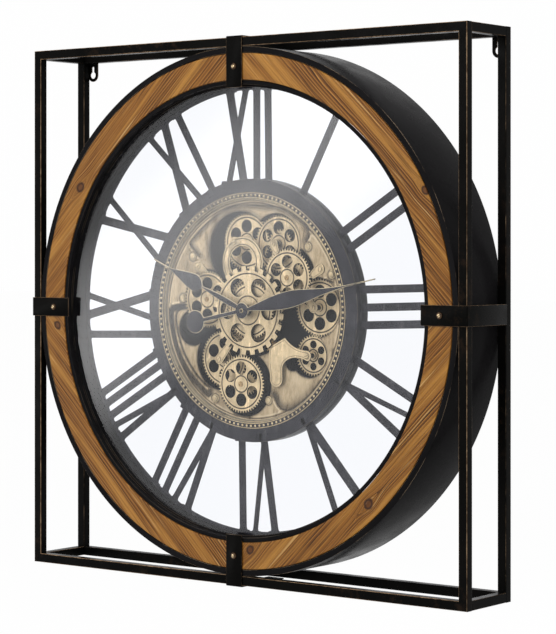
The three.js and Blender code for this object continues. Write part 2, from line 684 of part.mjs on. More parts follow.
function buildHands() {
  const minuteHalf = new THREE.Path();
  minuteHalf.moveTo(MINUTE_HUB_R - 2, 2.2);
  minuteHalf.bezierCurveTo(30, 5, 50, 11, 76, 11);
  minuteHalf.bezierCurveTo(100, 11, 120, 3, 170, 1);
  minuteHalf.lineTo(MINUTE_LENGTH, 0.5);
  const tail = new THREE.Shape([
    new THREE.Vector2(-TAIL_LENGTH, -2.8),
    new THREE.Vector2(0, -2.8),
    new THREE.Vector2(0, 2.8),
    new THREE.Vector2(-TAIL_LENGTH, 2.8),
  ]);
  const discs = [circle(0, 0, MINUTE_HUB_R), circle(-TAIL_LENGTH, 0, TAIL_DISC_R)];
  const minute = join(
    ...[handBlade(minuteHalf), tail, ...discs].map((shape) => plate(shape, MINUTE_DEPTH, HAND_T)),
    rod(0, 0, SHAFT_R, MINUTE_DEPTH + HAND_T / 2, SHAFT_BACK),
  );
  addMesh('minute_hand', minute, 'charcoal').rotation.y = -MINUTE_ANGLE;

  const hourHalf = new THREE.Path();
  hourHalf.moveTo(HOUR_HUB_R - 2, 2.6);
  hourHalf.bezierCurveTo(20, 4.5, 45, 5, 74, 1);
  hourHalf.bezierCurveTo(79, 11.5, 86, 12, 92, 11);
  hourHalf.bezierCurveTo(108, 9, 122, 2.5, 136, 1);
  hourHalf.lineTo(HOUR_LENGTH, 0.5);
  const hour = join(
    ...[handBlade(hourHalf), circle(0, 0, HOUR_HUB_R)].map((shape) => plate(shape, HOUR_DEPTH, HAND_T)),
    rod(0, 0, PIPE_OUTER_R, HOUR_DEPTH + HAND_T / 2, SHAFT_BACK - 1),
  );
  const bored = cut(hour, rod(0, 0, PIPE_INNER_R, HOUR_DEPTH - 1, SHAFT_BACK));
  addMesh('hour_hand', bored, 'charcoal').rotation.y = -HOUR_ANGLE;

  const nutBack = MINUTE_DEPTH - GAP;
  addMesh('hand_nut', spun([
    [0, nutBack - 1.5],
    [1.8, nutBack - 1.2],
    [2.8, nutBack - 0.5],
    [2.8, nutBack],
    [0, nutBack],
  ], 12), 'brass');
}

// A round cell lying along X with its small end cap
function cellGeometry(x, z, depth) {
  const body = new THREE.CylinderGeometry(CELL_R, CELL_R, CELL_LENGTH - 2, 14);
  const cap = new THREE.CylinderGeometry(CELL_R / 3, CELL_R / 3, CELL_LENGTH, 10).translate(0, 1, 0);
  return join(body, cap).rotateZ(Math.PI / 2).translate(x, yAt(depth), z);
}

// Clock movement behind the gear case: box, fixed tube, set knob and cell
function buildMovement() {
  const front = CASE_BACK + GAP;
  const back = front + MOVEMENT_T;
  const bay = { z: -18, width: CELL_LENGTH + 3, height: 2 * CELL_R + 1.5 };
  const knob = { x: 0, z: 12 };
  const stemFront = back - 5;
  const body = join(
    block(0, 0, MOVEMENT_SIZE, MOVEMENT_SIZE, front, back),
    rod(0, 0, TUBE_OUTER_R, TUBE_FRONT, front + 1, 16),
  );
  addMesh('movement_case', cut(
    body,
    rod(0, 0, TUBE_INNER_R, TUBE_FRONT - 1, SHAFT_BACK + 2),
    block(0, bay.z, bay.width, bay.height, back - 2 * CELL_R - 0.8, back + 1),
    rod(knob.x, knob.z, POST_R, stemFront, back + 1),
  ), 'blackPlastic');
  addMesh('clock_cell', cellGeometry(0, bay.z, back - CELL_R - 0.4), 'cell');
  addMesh('set_knob', join(
    rod(knob.x, knob.z, 7, back + GAP, back + 4.5, 16),
    rod(knob.x, knob.z, POST_R - 0.5, stemFront + 0.5, back + 1),
  ), 'blackPlastic');
}

// Gear motor behind the gear case: box with its cell; the pinion's shaft enters it from the front
function buildMotor() {
  const { x, z, width, height, thickness } = MOTOR_BOX;
  const front = CASE_BACK + GAP;
  const back = front + thickness;
  const bayZ = z - height / 2 + 14;
  addMesh('motor_box', cut(
    block(x, z, width, height, front, back),
    rod(motor.x, motor.z, POST_R + 2 * GAP, front - 1, front + 9),
    block(x, bayZ, CELL_LENGTH + 3, 2 * CELL_R + 1.5, back - 2 * CELL_R - 0.8, back + 1),
  ), 'blackPlastic');
  addMesh('motor_cell', cellGeometry(x, bayZ, back - CELL_R - 0.4), 'cell');
}

buildFrame();
buildHanger('hanger_left', -HANGER_X);
buildHanger('hanger_right', HANGER_X);
buildStraps();
buildWood();
buildBody();
buildDial();
buildGearBezel();
buildPanel();
buildGearCase();
buildWheels();
buildBridges();
buildHands();
buildMovement();
buildMotor();

export default clock;
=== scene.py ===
import math

import bmesh
import bpy
import numpy as np
from mathutils import Matrix, Vector, geometry, noise


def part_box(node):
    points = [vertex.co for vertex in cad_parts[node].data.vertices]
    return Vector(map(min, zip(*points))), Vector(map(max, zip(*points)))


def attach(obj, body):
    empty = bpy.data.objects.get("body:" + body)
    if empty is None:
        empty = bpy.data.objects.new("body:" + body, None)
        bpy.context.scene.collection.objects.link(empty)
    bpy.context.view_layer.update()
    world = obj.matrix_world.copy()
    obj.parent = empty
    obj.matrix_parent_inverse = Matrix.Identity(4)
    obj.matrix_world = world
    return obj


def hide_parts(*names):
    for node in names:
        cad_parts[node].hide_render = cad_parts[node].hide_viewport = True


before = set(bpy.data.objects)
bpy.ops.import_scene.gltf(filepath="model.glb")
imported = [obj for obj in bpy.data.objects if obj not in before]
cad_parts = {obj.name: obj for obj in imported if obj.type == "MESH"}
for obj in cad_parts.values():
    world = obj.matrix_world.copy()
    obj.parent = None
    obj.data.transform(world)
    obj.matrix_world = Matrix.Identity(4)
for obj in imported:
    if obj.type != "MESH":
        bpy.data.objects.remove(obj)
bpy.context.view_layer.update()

# Looks of a wall clock with a wooden ring, a skeleton dial and a panel of turning wheels.
# Lengths are in millimetres until they are placed. Depth runs back from the frame's front plane.
# An angle is measured from +X towards +Z, as seen from the front.
MM = 0.001
FRONT_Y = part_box("front_frame_top")[0].y
TAU = 2 * math.pi
QUARTER = math.pi / 2
CENTRE = (0, 0)
CORNERS = ((-1, -1), (1, -1), (1, 1), (-1, 1))
RING_SIDES = 256

# Frame, straps and hangers
HALF = 350
FRAME_DEPTH = 100
TUBE = 12
TUBE_ROUND = 1.1
WEAR_REACH = 2.6
RAIL_LAP = 0.2
GAP = 0.3
STRAP_WIDTH = 25
STRAP_T = 1.5
STRAP_INNER_R = 285.5
STRAP_BEND = 1.6
SCREW_AT_R = 312.5
SCREW_R = 4.2
SCREW_H = 2.5
HEAD_RIM = 0.5
HANGER_X = 332
HANGER_HALF = 9
HANGER_BOTTOM = 313
HANGER_T = 1.5
KEYHOLE_R = 4.7
KEYHOLE_SLOT = 4
KEYHOLE_TOP = 334

# Drum, wooden ring and glazing
DRUM_R = HALF - TUBE - GAP
DRUM_INNER_R = DRUM_R - 1
DRUM_FLANGE_R = 330
DRUM_FRONT = 0.5
WOOD_INNER_R = 295.3
WOOD_OUTER_R = 329.2
WOOD_T = 12
WOOD_ROUND = 0.9
WOOD_CHAMFER = 0.27
WOOD_WAVE = 0.12
WOOD_STEP = 2
GRAIN_PERIOD = 3.7
KNOTS = ((-265, 162, 8), (-307, -25, 7), (25, -303, 7), (208, -232, 8), (291, 150, 7))
FAR_FROM_KNOT = 3
BEZEL_LIP_R = 289.6
BEZEL_FLANGE_R = 287
BEZEL_OUTER_R = 294.7
BEZEL_FRONT = 1
BEZEL_BACK = 10
GLASS_R = 290
GLASS_FRONT = 10.3
GLASS_BACK = 13.3
GLASS_EDGE = 0.5
LINER_R = 290.8
LEDGE_R = 287.8
SHEET_T = 1.2
CARRIER_SCREWS = 12

# Dial
DIAL_DEPTH = 40
DIAL_T = 2
DIAL_TURN = math.radians(2.1)
DIAL_OUTER_R = 290.2
DIAL_OPENING_R = 285.5
DIAL_LEDGE = DIAL_DEPTH + DIAL_T + GAP
HUB_R = 169.8
HUB_INNER_R = 144
STROKE_ROOT_R = HUB_R - 10
STROKE = 10
THICK_ARM = 11.5
THIN_ARM = 8
FINE_ARM = 6.5
FLARE = 5
FLARE_LENGTH = 9

# Gear module
BEZEL_FACE = 32.3
BEZEL_FACE_R = 145
BEZEL_EDGE_R = 141
TAB_INNER_R = 158
TAB_OUTER_R = 168.6
PANEL_R = 149.8
PANEL_FRONT = 37
PANEL_BACK = 39.7
BEAD_RING_R = 148.5
BEAD_COUNT = 134
BEAD_R = 1.9
WIRE_R = 0.55
CASE_FLOOR = 53.5
CASE_BACK = 55
CASE_WALL = 5
CASE_GROOVE = (150, 158)
CASE_SCREWS = 8
CASE_SCREWS_R = 162
RIB_FROM_R = 46
RIB_TO_R = 148.5
RIB_HALF = 1.2
SLEEVE_BACK = CASE_FLOOR - 2 * GAP
POST_R = 2.5
BORE_R = 2.9
ARBOR_BORE_R = 5.6
ARBOR_R = 8
SLEEVE_R = 5
COLLAR_R = 6.4
COCK_DEPTH = 32
COCK_T = 1.6
COCK_R = 6.5
MODULE = 1.348
ADDENDUM = 1
DEDENDUM = 1.7
WHEEL_T = 2.4
CENTRE_TEETH = 24
CENTRE_ROOT_R = 51.5
CENTRE_TIP_R = 57.5
CENTRE_T = 3
FRONT_LAYER = 28.5
UPPER_LAYER = 34
MIDDLE_LAYER = 43
LOWER_LAYER = 46.4

# Hands, movement and motor
MINUTE_DEPTH = 15.5
HOUR_DEPTH = 18.5
HAND_T = 1.2
HAND_BEVEL = 0.65
HAND_LAP = 0.02
MINUTE_ANGLE = math.radians(11.6)
HOUR_ANGLE = math.radians(156.5)
SHAFT_R = 1.9
SHAFT_BACK = 50
PIPE_BORE_R = 2.4
PIPE_R = 3.4
PIPE_BACK = 49
CELL_R = 7.1
CELL_HALF = 25
KNOB_Z = 12
KNOB_R = 7
KNOB_H = 4.2
KNOB_STEM = 4.6
KNURLS = 28


# Placing and shapes
def place(x, depth, z):
    return Vector((x * MM, FRONT_Y + depth * MM, z * MM))


def polar(radius, angle, centre=CENTRE):
    return (centre[0] + radius * math.cos(angle), centre[1] + radius * math.sin(angle))


def arc(centre, radius, start, end, steps):
    return [polar(radius, start + (end - start) * i / steps, centre) for i in range(steps + 1)]


def ring(centre, radius, steps):
    return arc(centre, radius, 0, TAU, steps)[:-1]


def bezier(a, b, c, d, steps=14):
    points = []
    for i in range(1, steps + 1):
        t = i / steps
        shares = ((1 - t) ** 3, 3 * t * (1 - t) ** 2, 3 * t * t * (1 - t), t ** 3)
        points.append(tuple(sum(s * p[k] for s, p in zip(shares, (a, b, c, d))) for k in (0, 1)))
    return points


# Points from a start to an end on a curve that bends at a corner
def corner_curve(start, corner, end, steps):
    shares = [k / steps for k in range(steps + 1)]
    return [start * (1 - t) ** 2 + corner * 2 * t * (1 - t) + end * t * t for t in shares]


def rectangle(left, right, low, high):
    return [(left, low), (right, low), (right, high), (left, high)]


def turned(points, angle):
    c, s = math.cos(angle), math.sin(angle)
    return [(x * c - z * s, x * s + z * c) for x, z in points]


# Moves every side of an outline inwards by the same amount
def inset(points, amount):
    p = np.array(points, float)
    q = np.roll(p, -1, axis=0)
    if (p[:, 0] * q[:, 1] - q[:, 0] * p[:, 1]).sum() < 0:
        p = p[::-1]
    along = np.roll(p, -1, axis=0) - p
    along /= np.linalg.norm(along, axis=1)[:, None]
    inward = np.stack([-along[:, 1], along[:, 0]], axis=1)
    before = np.roll(inward, 1, axis=0)
    share = 1 + (inward * before).sum(axis=1)
    moved = p + amount * (inward + before) / np.maximum(share, 0.4)[:, None]
    return [tuple(q) for q in moved]


# Rounds the corners of a closed outline
def rounded(points, radius, steps):
    result = []
    for i, corner in enumerate(points):
        here = Vector(corner)
        back = Vector(points[i - 1]) - here
        on = Vector(points[(i + 1) % len(points)]) - here
        reach = min(radius, 0.48 * back.length, 0.48 * on.length)
        ends = [here + way.normalized() * reach for way in (back, on)]
        result += [tuple(p) for p in corner_curve(ends[0], here, ends[1], steps)]
    return result


def inside(points, outline):
    edge = np.array(outline, float)
    following = np.roll(edge, -1, axis=0)
    x, z = points[:, 0][:, None], points[:, 1][:, None]
    straddles = (edge[:, 1] > z) != (following[:, 1] > z)
    rise = following[:, 1] - edge[:, 1]
    rise = np.where(np.abs(rise) < 1e-12, 1e-12, rise)
    crossing = edge[:, 0] + (z - edge[:, 1]) * (following[:, 0] - edge[:, 0]) / rise
    return (straddles & (x < crossing)).sum(axis=1) % 2 == 1


def covered(points, outer, holes):
    result = inside(points, outer)
    for hole in holes:
        result &= ~inside(points, hole)
    return result


def away_from(points, at):
    return np.linalg.norm(points - np.array(at), axis=1)


# Distance from points to an open line, and the side of the line that each point is on
def line_distance(points, line):
    start = np.array(line[:-1], float)
    along = np.array(line[1:], float) - start
    away = points[:, None, :] - start[None]
    share = (away * along).sum(axis=2) / (along ** 2).sum(axis=1)
    miss = away - np.clip(share, 0, 1)[:, :, None] * along
    gaps = np.linalg.norm(miss, axis=2)
    nearest = gaps.argmin(axis=1)
    rows = np.arange(len(points))
    side = along[nearest, 0] * away[rows, nearest, 1] - along[nearest, 1] * away[rows, nearest, 0]
    return gaps[rows, nearest], np.sign(side)


# Meshes
def finished(bm, sharp_degrees=30):
    bmesh.ops.recalc_face_normals(bm, faces=bm.faces)
    mesh = bpy.data.meshes.new("shape")
    bm.to_mesh(mesh)
    bm.free()
    mesh.shade_smooth()
    mesh.set_sharp_from_angle(angle=math.radians(sharp_degrees))
    return mesh


def gathered(meshes):
    bm = bmesh.new()
    for mesh in meshes:
        bm.from_mesh(mesh)
        bpy.data.meshes.remove(mesh)
    return bm


def merged(meshes, sharp_degrees=30):
    return finished(gathered(meshes), sharp_degrees)


# Joins each row of points, a closed outline, to the next one
def skin(bm, rows, skipped=(), caps=False):
    for a, b in zip(rows, rows[1:]):
        for k in range(len(a)):
            n = (k + 1) % len(a)
            if k not in skipped:
                bm.faces.new((a[k], a[n], b[n], b[k]))
    if caps:
        bm.faces.new(rows[0])
        bm.faces.new(rows[-1])


# A ring, disc or rod about an axis along Y, from a closed outline of (radius, depth)
def lathe(profile, centre=CENTRE, sides=RING_SIDES, radius_at=None):
    bm = bmesh.new()
    rows = []
    for i in range(sides):
        angle = TAU * i / sides
        rows.append([])
        for r, depth in profile:
            x, z = polar(radius_at(r, angle) if radius_at else r, angle, centre)
            rows[-1].append(bm.verts.new(place(x, depth, z)))
    following = profile[1:] + profile[:1]
    on_axis = [k for k, (a, b) in enumerate(zip(profile, following)) if a[0] <= 0 and b[0] <= 0]
    skin(bm, rows + rows[:1], on_axis)
    bmesh.ops.remove_doubles(bm, verts=bm.verts, dist=1e-7)
    return finished(bm)


def rod(centre, radius, front, back, sides, round_by=0.4):
    profile = [(0, front), (radius - round_by, front), (radius, front + round_by), (radius, back), (0, back)]
    return lathe(profile, centre, sides)


def tube(centre, inner, outer, front, back):
    return lathe(rounded(rectangle(inner, outer, front, back), 0.3, 2), centre, 64)


# A thin round wire bent into a ring
def wire_ring(radius, depth, wire_r, wire_sides, sides):
    return lathe([(radius + x, depth + d) for x, d in ring(CENTRE, wire_r, wire_sides)], sides=sides)


# Triangles over closed outlines and loose points, with the points that each spot comes from
# and the middle of each triangle
def triangulated(outlines, fill=()):
    coords = []
    edges = []
    for points in outlines:
        first, count = len(coords), len(points)
        coords += [Vector(p) for p in points]
        edges += [(first + i, first + (i + 1) % count) for i in range(count)]
    coords += [Vector(p) for p in fill]
    flat, _, faces, origin, _, _ = geometry.delaunay_2d_cdt(coords, edges, [], 0, 1e-5)
    spots = np.array([tuple(v) for v in flat])
    return spots, faces, origin, spots[np.array(faces)].mean(axis=1)


# A plate from its outlines: each loop has the depth of the front there, and the share of dark wash if any.
# The back is flat.
def relief(loops, outer, holes, back, fill=(), height=None):
    depths = []
    washes = []
    for points, depth, *wash_and_shade in loops:
        depths += [depth] * len(points)
        washes += (wash_and_shade or [0]) * len(points)
    depths += [None] * len(fill)
    washes += [0] * len(fill)
    spots, faces, origin, centres = triangulated([loop[0] for loop in loops], fill)
    free = height(spots) if height else np.full(len(spots), loops[0][1])
    front = []
    dark = []
    for i, sources in enumerate(origin):
        given = [depths[s] for s in sources if depths[s] is not None]
        front.append(given[0] if given else float(free[i]))
        dark.append(max((washes[s] for s in sources), default=0))
    return sheet_solid(spots, faces, covered(centres, outer, holes), front, back, dark)


# Closes the kept part of a triangulated front into a solid with upright walls and a flat back
def sheet_solid(spots, faces, kept, front, back, dark=None):
    faces = [f for f, keep in zip(faces, kept) if keep]
    bm = bmesh.new()
    wash_and_shade = bm.verts.layers.float.new("wash_and_shade")
    used = sorted({i for f in faces for i in f})
    top = {i: bm.verts.new(place(spots[i][0], front[i], spots[i][1])) for i in used}
    bottom = {i: bm.verts.new(place(spots[i][0], back, spots[i][1])) for i in used}
    for i in used if dark else ():
        top[i][wash_and_shade] = dark[i]
    directed = set()
    for f in faces:
        bm.faces.new([top[i] for i in f])
        bm.faces.new([bottom[i] for i in reversed(f)])
        directed.update(zip(f, list(f[1:]) + [f[0]]))
    for a, b in directed:
        if (b, a) not in directed:
            bm.faces.new((top[b], top[a], bottom[a], bottom[b]))
    return finished(bm)


# Bevels the sharp edges of a mesh and marks the new faces for wear
def bevelled(bm, width, steps=2):
    edge = bm.faces.layers.float.new("edge")
    limit = math.radians(40)
    sharp = [e for e in bm.edges if len(e.link_faces) == 2 and e.calc_face_angle(0) > limit]
    made = bmesh.ops.bevel(
        bm, geom=sharp, offset=width * MM, segments=steps, profile=0.5, affect="EDGES", clamp_overlap=True
    )
    for face in made["faces"]:
        face[edge] = 1
    return finished(bm)


# A flat plate from overlapping outlines, each with its own holes, with bevelled edges
def union_plate(shapes, depth, thickness, bevel, within=None):
    outlines = [loop for outer, holes in shapes for loop in (outer, *holes)]
    spots, faces, _, centres = triangulated(outlines + ([within] if within else []))
    kept = np.any([covered(centres, outer, holes) for outer, holes in shapes], axis=0)
    if within:
        kept &= inside(centres, within)
    return refined(sheet_solid(spots, faces, kept, [depth] * len(spots), depth + thickness), bevel)


# Clears flat faces of their inner edges and bevels what is left
def refined(mesh, bevel, steps=2):
    bm = bmesh.new()
    bm.from_mesh(mesh)
    bmesh.ops.remove_doubles(bm, verts=bm.verts, dist=2e-6)
    bmesh.ops.dissolve_limit(bm, angle_limit=0.004, verts=bm.verts, edges=bm.edges)
    return bevelled(bm, bevel, steps)


# Adds a piece that stands for nodes, with the material of its look; the look's slot is not used
def add(name, mesh, look, *nodes, body="clock"):
    material, slot = look
    mesh.name = name
    mesh.materials.clear()
    mesh.materials.append(material)
    piece = bpy.data.objects.new(name, mesh)
    bpy.context.collection.objects.link(piece)
    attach(piece, body)
    if nodes:
        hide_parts(*nodes)


def spin_y(mesh, angle):
    mesh.transform(Matrix.Rotation(angle, 4, "Y"))
    return mesh


# Materials
def srgb(*colour):
    shares = [value / 255 for value in colour]
    return (*[s / 12.92 if s <= 0.04045 else ((s + 0.055) / 1.055) ** 2.4 for s in shares], 1)


class Nodes:
    """A tree of shading nodes."""

    def __init__(self, tree):
        self.tree = tree

    def node(self, kind, inputs=None, **settings):
        made = self.tree.nodes.new("ShaderNode" + kind)
        for key, value in settings.items():
            setattr(made, key, value)
        for key, value in (inputs or {}).items():
            if isinstance(value, bpy.types.NodeSocket):
                self.tree.links.new(value, made.inputs[key])
            else:
                made.inputs[key].default_value = value
        return made

    def math(self, operation, first, second=0.0, third=0.0, clamp=False):
        inputs = {0: first, 1: second, 2: third}
        return self.node("Math", inputs, operation=operation, use_clamp=clamp).outputs[0]

    def times(self, first, second):
        return self.math("MULTIPLY", first, second)

    # 1 for rays that see the background straight, in metal or through glass
    def seen(self):
        paths = self.node("LightPath").outputs
        mirrored = self.math("MAXIMUM", paths["Is Camera Ray"], paths["Is Glossy Ray"])
        return self.math("MAXIMUM", mirrored, paths["Is Transmission Ray"])


class Finish(Nodes):
    """A procedural material on one Principled shader."""

    def __init__(self, name, **sockets):
        self.material = bpy.data.materials.new(name)
        self.material.use_nodes = True
        super().__init__(self.material.node_tree)
        self.shader = self.tree.nodes["Principled BSDF"]
        for socket, value in sockets.items():
            self.shader.inputs[socket.replace("_", " ").title().replace("Ior", "IOR")].default_value = value
        self.coords = self.node("TexCoord").outputs["Object"]

    def stretched(self, x, y, z, coords=None):
        return self.node("Mapping", {"Vector": coords or self.coords, "Scale": (x, y, z)}).outputs[0]

    def noise(self, scale, detail=4, roughness=0.55, coords=None):
        values = {"Scale": scale, "Detail": detail, "Roughness": roughness}
        return self.node("TexNoise", {"Vector": coords or self.coords, **values}).outputs["Fac"]

    def attribute(self, name, output="Fac"):
        return self.node("Attribute", attribute_name=name).outputs[output]

    def band(self, value, low, high):
        inputs = {"Value": value, "From Min": low, "From Max": high}
        return self.node("MapRange", inputs, interpolation_type="SMOOTHSTEP").outputs[0]

    # Rises from low to full and falls from fade to end
    def between(self, value, low, full, fade, end):
        return self.times(self.band(value, low, full), self.band(value, end, fade))

    def ramp(self, value, *stops):
        made = self.node("ValToRGB", {"Fac": value})
        elements = made.color_ramp.elements
        while len(elements) < len(stops):
            elements.new(0.5)
        for element, (position, colour) in zip(elements, stops):
            element.position = position
            element.color = srgb(*colour)
        return made.outputs[0]

    def shades(self, value, low, high):
        return self.ramp(value, (0.3, low), (0.7, high))

    def greys(self, value, low, high):
        return self.shades(value, (low,) * 3, (high,) * 3)

    def mix(self, share, first, second):
        return self.node("Mix", {0: share, 6: first, 7: second}, data_type="RGBA").outputs[2]

    # Lays a plain colour over another one
    def over(self, under, colour, share, strength=1):
        amount = share if strength == 1 else self.times(share, strength)
        return self.mix(amount, under, srgb(*colour))

    # How squarely a surface faces the front or back: 1 on flats, 0 on upright walls
    def facing(self):
        parts = self.node("SeparateXYZ", {0: self.node("NewGeometry").outputs["Normal"]})
        return self.math("ABSOLUTE", parts.outputs[1])

    # Ambient occlusion, for painted shade that darkens hollows and the gaps between parts
    def hollow_shade(self, reach):
        return self.node("AmbientOcclusion", {"Distance": reach * MM}, samples=8).outputs["AO"]

    def finish(self, colour, roughness=None, height=None, bump=0.1, bump_size=0.3):
        links = self.tree.links
        links.new(colour, self.shader.inputs["Base Color"])
        if roughness is not None:
            links.new(roughness, self.shader.inputs["Roughness"])
        if height is not None:
            made = self.node("Bump", {"Height": height, "Strength": bump, "Distance": bump_size * MM})
            links.new(made.outputs[0], self.shader.inputs["Normal"])
        return self.material

    # Shows a blend of two shaders instead of the Principled one alone
    def show(self, share, first, second):
        both = self.node("MixShader", {0: share, 1: first.outputs[0], 2: second.outputs[0]})
        self.tree.links.new(both.outputs[0], self.tree.nodes["Material Output"].inputs["Surface"])
        return self.material


def black_steel():
    f = Finish("black_steel", specular_ior_level=0.02)
    paint = f.shades(f.noise(14, 5), (9, 9, 8), (17, 16, 15))
    rubbed = f.times(f.band(f.noise(9, 3), 0.52, 0.7), f.band(f.noise(60, 8, 0.7), 0.5, 0.62))
    brown = f.over(paint, (74, 56, 42), rubbed, 0.22)
    wear = f.math("ADD", f.times(f.attribute("edge"), 0.62), f.times(f.noise(11, 7, 0.68), 0.8))
    bronze = f.ramp(f.noise(150, 3), (0.35, (104, 82, 62)), (0.65, (172, 144, 114)))
    colour = f.mix(f.band(wear, 0.9, 1.02), brown, bronze)
    return f.finish(colour, f.greys(f.noise(40), 110, 168), f.noise(900, 5), 0.25, 0.15)


def drum_paint(name, rubbed):
    f = Finish(name, specular_ior_level=0.01)
    paint = f.shades(f.noise(5), (23, 22, 23), (31, 30, 31))
    speckled = f.over(paint, (60, 58, 58), f.band(f.noise(420, 3, 0.7), 0.7, 0.8), 0.2)
    edge = f.between(f.facing(), 0.2, 0.4, 0.9, 0.97)
    rub = f.times(edge, f.band(f.noise(16, 6, 0.65), 0.42, 0.56))
    colour = f.over(speckled, (178, 156, 130), rub, rubbed)
    return f.finish(colour, f.greys(f.noise(30), 120, 160), f.noise(1200), 0.2, 0.12)


def charcoal(name, rubbed):
    f = Finish(name, specular_ior_level=0.06)
    cloud = f.noise(22, 6, 0.65)
    paint = f.ramp(cloud, (0.28, (38, 38, 43)), (0.72, (68, 67, 72)))
    flakes = f.band(f.noise(90, 8, 0.78, f.stretched(1, 1, 0.4)), 0.52, 0.7)
    mottled = f.over(paint, (118, 116, 116), flakes, 0.5)
    slope = f.between(f.facing(), 0.2, 0.45, 0.88, 0.96)
    rub = f.times(slope, f.band(f.noise(45, 5, 0.7), 0.3, 0.5))
    colour = f.over(mottled, (226, 208, 170), rub, rubbed)
    return f.finish(colour, f.greys(cloud, 140, 180), f.noise(500, 5, 0.65), 0.15, 0.15)


def antique_gold():
    f = Finish("antique_gold", metallic=0.25, specular_ior_level=0.35)
    brushed = f.noise(120, 6, 0.7, f.stretched(1, 1, 0.25))
    face = f.shades(brushed, (195, 172, 134), (255, 226, 176))
    facing = f.facing()
    # Painted shade and highlight: upright walls are painted dark and bevels painted bright
    side = f.mix(f.band(facing, 0.25, 0.6), srgb(48, 40, 30), srgb(240, 218, 174))
    gold = f.mix(f.band(facing, 0.86, 0.97), side, face)
    # Painted shade from ambient occlusion in hollows and under the parts in front, joined with the dark wash
    # in grooves
    dark_wash_and_shade = f.math("MAXIMUM", f.band(f.hollow_shade(11), 0.9, 0.35), f.attribute("wash_and_shade"))
    patches = f.times(f.band(f.noise(24, 6, 0.7), 0.46, 0.74), 0.62)
    colour = f.over(gold, (28, 24, 22), f.math("MAXIMUM", dark_wash_and_shade, patches), 0.96)
    return f.finish(colour, f.greys(brushed, 110, 150), brushed, 0.15, 0.1)


def panel_gold():
    f = Finish("panel_gold", metallic=0.2, specular_ior_level=0.3)
    strokes = f.noise(90, 7, 0.72, f.stretched(1, 1, 0.3))
    face = f.ramp(strokes, (0.3, (128, 107, 76)), (0.52, (192, 169, 132)), (0.75, (224, 203, 166)))
    wash_and_shade = f.attribute("wash_and_shade")
    grime = f.times(f.band(f.noise(16, 6, 0.68), 0.48, 0.75), 0.45)
    # Painted shade: upright walls and steep slopes are painted dark
    shaded_walls = f.mix(f.band(f.facing(), 0.3, 0.7), srgb(46, 42, 38), face)
    polished = f.over(shaded_walls, (226, 206, 170), f.band(wash_and_shade, 0, -0.7))
    colour = f.over(polished, (24, 22, 24), f.math("MAXIMUM", wash_and_shade, grime, clamp=True), 0.98)
    return f.finish(colour, f.greys(strokes, 130, 170), strokes, 0.3, 0.2)


def brass(name, low, high, crown=None):
    f = Finish(name, metallic=0.45)
    mottled = f.noise(380, 6, 0.65)
    metal = f.shades(mottled, low, high)
    # A painted highlight on the crown of a domed head
    if crown:
        metal = f.over(metal, crown, f.band(f.facing(), 0.955, 0.995))
    # Painted shade in hollows, such as the slot of a screw
    colour = f.over(metal, (44, 34, 24), f.band(f.hollow_shade(1.5), 0.75, 0.3))
    return f.finish(colour, f.greys(mottled, 80, 130), mottled, 0.15, 0.1)


def wood():
    f = Finish("wood", specular_ior_level=0.2)
    board = f.attribute("board", "Vector")

    # Noise that is drawn out along the board
    def grain(along, across, detail=2, roughness=0.5):
        return f.noise(1, detail, roughness, f.stretched(along, across, 1, board))

    moved = f.math("ADD", f.times(grain(0.006, 0.014, 3), 9), f.times(grain(0.002, 0.07), 11))
    across = f.node("SeparateXYZ", {0: board}).outputs[1]
    line = f.math("FRACT", f.math("DIVIDE", f.math("ADD", across, moved), GRAIN_PERIOD))
    late = f.between(line, 0.3, 0.82, 0.92, 1.0)
    ring_stops = ((0.02, (202, 144, 68)), (0.28, (152, 96, 34)), (0.66, (90, 50, 13)), (0.92, (32, 14, 3)))
    bands = grain(0.003, 0.075)
    streaks = grain(0.006, 0.55, 5, 0.62)
    fibres = grain(0.04, 2.4, 6, 0.65)
    early = f.ramp(bands, (0.3, (104, 60, 18)), (0.48, (148, 94, 33)), (0.66, (190, 134, 60)))
    strong = f.band(grain(0.005, 0.3, 3, 0.6), 0.26, 0.56)
    zone = f.band(grain(0.012, 0.028), 0.38, 0.6)
    lined = f.times(f.band(bands, 0.74, 0.4), strong)
    lined = f.times(lined, f.math("MULTIPLY_ADD", zone, 0.45, 0.5))
    golden = f.over(early, (198, 138, 60), f.math("MULTIPLY_ADD", zone, -0.2, 0.2))
    colour = f.mix(lined, golden, f.ramp(line, *ring_stops))
    knot_edge = f.math("SUBTRACT", f.attribute("knot"), 0.25)
    away = f.math("MULTIPLY_ADD", f.noise(160, 4, 0.6), 0.5, knot_edge)
    for layer, share, strength in (
        ((80, 46, 14), f.band(streaks, 0.52, 0.7), 0.8),
        ((210, 158, 86), f.band(streaks, 0.44, 0.3), 0.5),
        ((236, 192, 124), f.band(grain(0.005, 0.17), 0.63, 0.7), 0.55),
        ((92, 54, 18), f.band(fibres, 0.5, 0.7), 0.5),
        ((92, 50, 18), f.band(away, 1.25, 0.6), 0.85),
        ((46, 22, 8), f.between(away, 0.4, 0.7, 0.8, 1.05), 0.85),
        # Painted shade in hollows and where other parts stand close to the wood
        ((64, 36, 14), f.band(f.hollow_shade(3), 0.7, 0.25), 1),
    ):
        colour = f.over(colour, layer, share, strength)
    height = f.math("MULTIPLY_ADD", late, 0.8, fibres)
    return f.finish(colour, f.greys(fibres, 150, 190), height, 0.5, 0.3)


def black_plastic():
    f = Finish("black_plastic", specular_ior_level=0.08)
    grain = f.noise(1500, 4, 0.6)
    colour = f.shades(f.noise(30), (28, 28, 31), (38, 38, 42))
    return f.finish(colour, f.greys(grain, 120, 165), grain, 0.35, 0.12)


